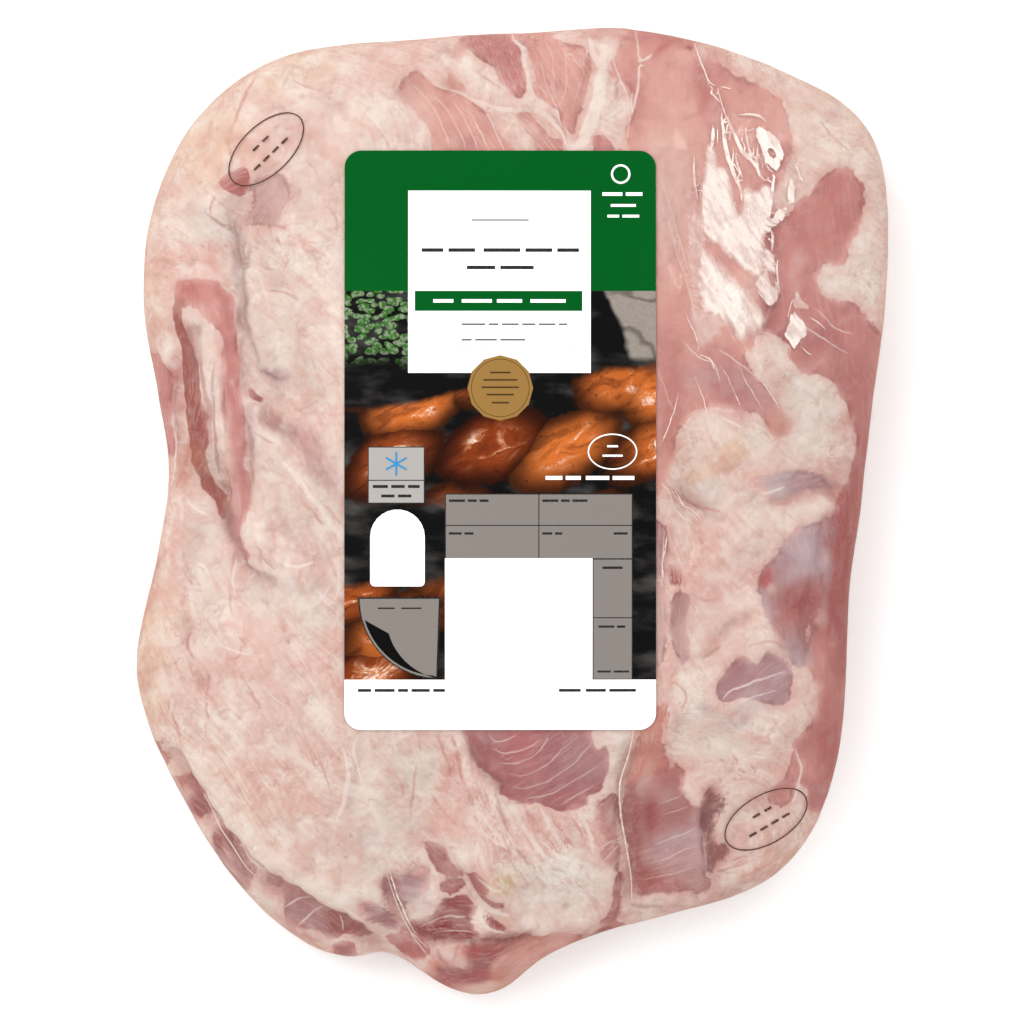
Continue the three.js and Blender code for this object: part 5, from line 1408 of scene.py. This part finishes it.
def pictureColour(wires):                             # long glazed roots on dark slate
    spot = wires.place()
    bent = spot.bent(0.05, 3, (11, 11, 0))
    turned = bent.turned(-0.5)
    flat = {"voronoi_dimensions": "2D"}
    cells = {"Vector": turned.scaled(0.55, 1, 0), "Scale": 0.056, "Randomness": 0.8}
    away = wires.node("ShaderNodeTexVoronoi", flat, cells)
    tone = wires.node("ShaderNodeTexVoronoi", flat, cells, out="Color")
    tone = wires.node("ShaderNodeSeparateColor", None, {0: tone})
    speck = spot.speckle(0.7, 4, 0.6)
    glaze = turned.scaled(0.5, 1.4, 0).speckle(0.16, 6, 0.60, 0.8)
    slate = spot.scaled(0.5, 1.2, 0).speckle(0.10, 5).step(0.45, 0.75)
    slate = mixOf(wires, slate * 0.4, "black", "softGrey")
    root = mixOf(wires, tone.step(0.1, 0.9), "sauce", "glazed").layered([
        (glaze, 0.50, 0.64, 0.55, (60, 22, 12)),
        (glaze, 0.48, 0.38, away.step(0.42, 0.1) * 0.7, (196, 132, 90)),
        (glaze, 0.43, 0.35, away.step(0.36, 0.1) * speck.step(0.40, 0.56), (236, 216, 204)),
        (speck, 0.58, 0.70, 0.5, (48, 18, 10)),
        (away, 0.16, 0.54, 0.93, (24, 9, 6)),
    ])
    across, up = bent.axis("X"), bent.axis("Y")
    heap = (38 + across * 0.14 - up).step(-1.5, 1.5) * (up - 2).step(-3, 3)
    heap = wires.maths("MAXIMUM", heap, (0 - up - 22).step(-2, 2) * (0 - across).step(-30, -10))
    body = (away + (speck - 0.5) * 0.10).step(0.60, 0.52)
    colour = slate.toward(heap * body, root)
    cloth = mixOf(wires, spot.speckle(1.2, 2).step(0.3, 0.7) * 0.2, "paleGrey", "darkGold")
    cloth = cloth.toward(0.5, tint(112, 96, 80))
    cloth = cloth.toward(abs(bent.speckle(0.06, 2) - 0.5).step(0.05, 0.0) * 0.6, tint(52, 43, 36))
    colour = colour.toward((across - 30 + (up - 60) * 0.5).step(-1, 1) * (up - 46).step(-1, 1), cloth)
    leaf = wires.node("ShaderNodeTexVoronoi", flat, {"Vector": bent.scaled(1, 1.5, 0), "Scale": 0.36})
    leaves = leaf.step(0.55, 0.40) * (0 - across - 26).step(-6, 1) * (up - 46).step(-3, 3)
    green = mixOf(wires, spot.speckle(0.9, 3).step(0.42, 0.6), "green", "paleGrey")
    return colour.toward(leaves * 0.9, green.toward(0.5, tint(70, 112, 40)))


def makeLabel():
    everyField = list(fields)
    for paint, y, height, spans in barRows:
        everyField += [(paint, left, right, y - height / 2, y + height / 2) for left, right in spans]
    bpy.ops.object.select_all(action='DESELECT')
    bpy.ops.mesh.primitive_plane_add(size=1)
    sheet = bpy.context.object
    sheet.name = "label_sheet"
    left, right, bottom, top = (labelBox[side] * mm for side in ("left", "right", "bottom", "top"))
    bpy.ops.transform.resize(value=(right - left, top - bottom, 1))
    bpy.ops.transform.translate(value=((right + left) / 2, (top + bottom) / 2, label["fromHeight"]))
    bpy.ops.object.transform_apply(location=True, rotation=True, scale=True)
    editAll(sheet)
    bpy.ops.mesh.bevel(offset=label["corner"] * mm, segments=label["cornerSteps"], affect='VERTICES')
    for axis, low, high in ((0, "left", "right"), (1, "bottom", "top")):
        cuts = {border for field in everyField for border in field[1 + 2 * axis:3 + 2 * axis]}
        cuts |= set(range(math.ceil(labelBox[low]), math.floor(labelBox[high]), label["pitch"]))
        cutAcross(axis, [cut for cut in sorted(cuts) if labelBox[low] < cut < labelBox[high]])
    leaveEdit()
    order = list(dict.fromkeys(field[0] for field in everyField))
    for paint in order:
        sheet.data.materials.append(paintMaterial(paint))
    for face in sheet.data.polygons:
        x, y = face.center.x / mm, face.center.y / mm
        paint = [f[0] for f in everyField if f[1] < x < f[2] and f[3] < y < f[4]][-1:]
        face.material_index = order.index(paint[0]) if paint else 0
    layOn(sheet, film, label["gap"])
    useModifier(sheet, 'SOLIDIFY', thickness=label["thickness"] * mm, offset=1)
    onlySelect(sheet)
    bpy.ops.object.shade_smooth_by_angle(angle=math.radians(40))
    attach(sheet, "root")
    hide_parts("label")
    return sheet


labelSheet = makeLabel()
print("label", len(labelSheet.data.polygons), "faces")


# Other shapes of print on the label, cut every few millimetres so that they follow it

def layShape(name, outline, paint, level):
    drawn = bpy.data.meshes.new(name)
    corners = [(x * mm, y * mm, label["fromHeight"]) for x, y in outline]
    drawn.from_pydata(corners, [], [list(range(len(corners)))])
    shape = bpy.data.objects.new(name, drawn)
    bpy.context.scene.collection.objects.link(shape)
    editAll(shape)
    bpy.ops.mesh.normals_make_consistent(inside=False)
    low, high = np.min(outline, axis=0), np.max(outline, axis=0)
    pitch = label["printPitch"]
    for axis in (0, 1):
        cutAcross(axis, range(math.ceil(low[axis] / pitch) * pitch, math.ceil(high[axis]), pitch))
    leaveEdit()
    if shape.data.polygons[0].normal.z < 0:
        shape.data.flip_normals()
    layOn(shape, labelSheet, label["printGap"] * (1 + 2 * level))
    useModifier(shape, 'SOLIDIFY', thickness=label["printThickness"] * mm, offset=1)
    shape.data.materials.append(paintMaterial(paint))
    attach(shape, "root")


def turnedAt(x, y, turn, spots):                      # points of a mark, turned and moved to its place
    c, s = math.cos(math.radians(turn)), math.sin(math.radians(turn))
    return [(x + u * c - v * s, y + u * s + v * c) for u, v in spots]


def ring(x, y, radiusX, radiusY, corners=16, turn=0):
    angles = [2 * math.pi * i / corners for i in range(corners)]
    return turnedAt(x, y, turn, [(radiusX * math.cos(a), radiusY * math.sin(a)) for a in angles])


def dash(x, y, u, v, length, turn=0):                 # a short dash at u along and v across a turned mark
    return turnedAt(x, y, turn, [(u - length / 2, v), (u, v), (u + length / 2, v)])


def arc(x, y, radius, start, end, steps=14):          # points along an arc, in degrees
    return [(x + radius * math.cos(math.radians(a)), y + radius * math.sin(math.radians(a)))
            for a in np.linspace(start, end, steps)]


seal, oval = (-3.5, 37), (30, 18)

# Shapes of print: piece, paint, layer, outline
shapes = [
    ("label_print_seal", "gold", 0, ring(*seal, 9.8, 9.8, 12)),
    ("label_print_window", "white", 0, arc(-34.15, -7.4, 8.15, 0, 180)
     + arc(-40.9, -20.8, 1.4, 180, 270, 5) + arc(-27.4, -20.8, 1.4, 270, 360, 5)),
    ("label_print_tile", "ink", 0, [(-21.3, -25.4), (-46, -25.4)] + arc(-21.3, -25.4, 24.6, 182, 268)),
    ("label_print_tile_face", "grey", 1,
     [(-21.8, -25.9), (-45.4, -25.9)] + arc(-21.8, -25.9, 23.6, 182, 268)),
    ("label_print_tile_fold", "black", 2,
     arc(-21.8, -25.9, 23.0, 196, 266) + arc(-18.5, -31, 19, 262, 196, 12)),
]

# Lines of print: piece, paint, closed or not, radius and points
prints = [
    ("label_print_seal_rings", "darkGold", True,
     [(0.16, ring(*seal, 8.6, 8.6)), (0.10, ring(*seal, 7.9, 7.9))]),
    ("label_print_seal_bars", "darkGold", False,
     [(0.30, dash(*seal, 0, v, length)) for v, length in
      ((4.6, 6), (2.4, 10), (0.2, 11), (-2.0, 8), (-4.4, 5))]),
    ("label_print_oval", "white", True, [(0.22, ring(*oval, 7.2, 5.2))]),
    ("label_print_oval_bars", "white", False,
     [(0.35, dash(*oval, 0, 1.6, 3.2)), (0.35, dash(*oval, 0, -1.2, 6))]),
    ("label_print_ring", "white", True, [(0.35, ring(32.5, 101, 2.6, 2.6))]),
    ("label_print_star", "blue", False,
     [(0.28, dash(-34.5, 14.4, 0, 0, 7, turn)) for turn in (30, 90, 150)]),
    ("label_print_tile_bars", "ink", False,
     [(0.35, dash(-33, -28.7, -4.5, 0, 5)), (0.35, dash(-33, -28.7, 3, 0, 6))]),
]

for name, paint, level, outline in shapes:
    layShape(name, outline, paint, level)
for name, paint, closed, lines in prints:
    drawn = drapeLines(name, lines, labelSheet, paintMaterial(paint), label["printSink"], closed, False)

# The two inspection marks, inked on the film

# Piece, middle, half length, half width, turn
stamps = [("stamp_upper", -73.5, 108.5, 13.8, 7.3, 44), ("stamp_lower", 76.1, -92, 13.6, 7.3, 30)]

# Line radii, how deep the lines sit in the film, and the dashes along and across a mark
marking = dict(ring=0.20, dash=0.34, ringSink=0.12, dashSink=0.2, dashLength=2.4, corners=20,
               dashes=[(-2, 2.4), (2, 2.4), (-5.7, -2.0), (-1.9, -2.0), (1.9, -2.0), (5.7, -2.0)])


def inkMaterial():
    material, wires = newMaterial("brown ink")
    colour = mixOf(wires, wires.place().speckle(1.4, 3).step(0.35, 0.65), "worn", "stamped")
    surface = wires.node("ShaderNodeBsdfPrincipled", None, {
        "Base Color": colour, "Roughness": 0.5, "Specular IOR Level": 0.1})
    finishMaterial(wires, surface)
    return material


ink = inkMaterial()
for name, x, y, long, short, turn in stamps:
    outline = ring(x, y, long, short, marking["corners"], turn)
    dashes = [dash(x, y, u, v, marking["dashLength"], turn) for u, v in marking["dashes"]]
    for piece, kind, lines in ((name, "ring", [outline]), (name + "_dashes", "dash", dashes)):
        lines = [(marking[kind], line) for line in lines]
        mark = drapeLines(piece, lines, film, ink, marking[kind + "Sink"], kind == "ring", False)
print("print and marks")


# Stage: pale floor, soft light, camera straight above

view = dict(lens=600.0, sensor=36.0, width=307.2, aimHeight=28.0, room=1.25, floor=-0.3)

# Soft lamps: name, place in metres, size, power
lamps = [("key", (-1.2, 1.3, 2.0), 1.6, 30), ("glint right", (0.75, 0.9, 1.7), 0.28, 2.2),
         ("glint left", (-0.7, 0.3, 1.8), 0.22, 1.4)]


def makeStage():
    bpy.ops.object.select_all(action='DESELECT')
    bpy.ops.mesh.primitive_plane_add(size=8, location=(0, 0, view["floor"] * mm))
    floor = bpy.context.object
    floor.name = "floor"
    material, wires = newMaterial("pale floor")
    surface = wires.node("ShaderNodeBsdfPrincipled", None, {
        "Base Color": (0.97, 0.97, 0.97, 1), "Roughness": 0.8})
    finishMaterial(wires, surface)
    floor.data.materials.append(material)

    world = bpy.data.worlds.new("soft room")
    bpy.context.scene.world = world
    world.use_nodes = True
    sky = world.node_tree.nodes["Background"]
    sky.inputs["Color"].default_value = (1, 1, 1, 1)
    sky.inputs["Strength"].default_value = view["room"]

    for name, place, size, power in lamps:
        lamp = bpy.data.lights.new(name, 'AREA')
        lamp.size = size
        lamp.energy = power
        holder = bpy.data.objects.new(name, lamp)
        holder.location = place
        holder.rotation_euler = (-Vector(place)).to_track_quat('-Z', 'Y').to_euler()
        bpy.context.scene.collection.objects.link(holder)

    lens = bpy.data.cameras.new("camera")
    lens.lens = view["lens"]
    lens.sensor_width = view["sensor"]
    lens.clip_end = 50
    camera = bpy.data.objects.new("camera", lens)
    camera.location = (0, 0, (view["aimHeight"] + view["width"] * view["lens"] / view["sensor"]) * mm)
    bpy.context.scene.collection.objects.link(camera)
    bpy.context.scene.camera = camera
    bpy.context.scene.view_settings.view_transform = 'Standard'


makeStage()
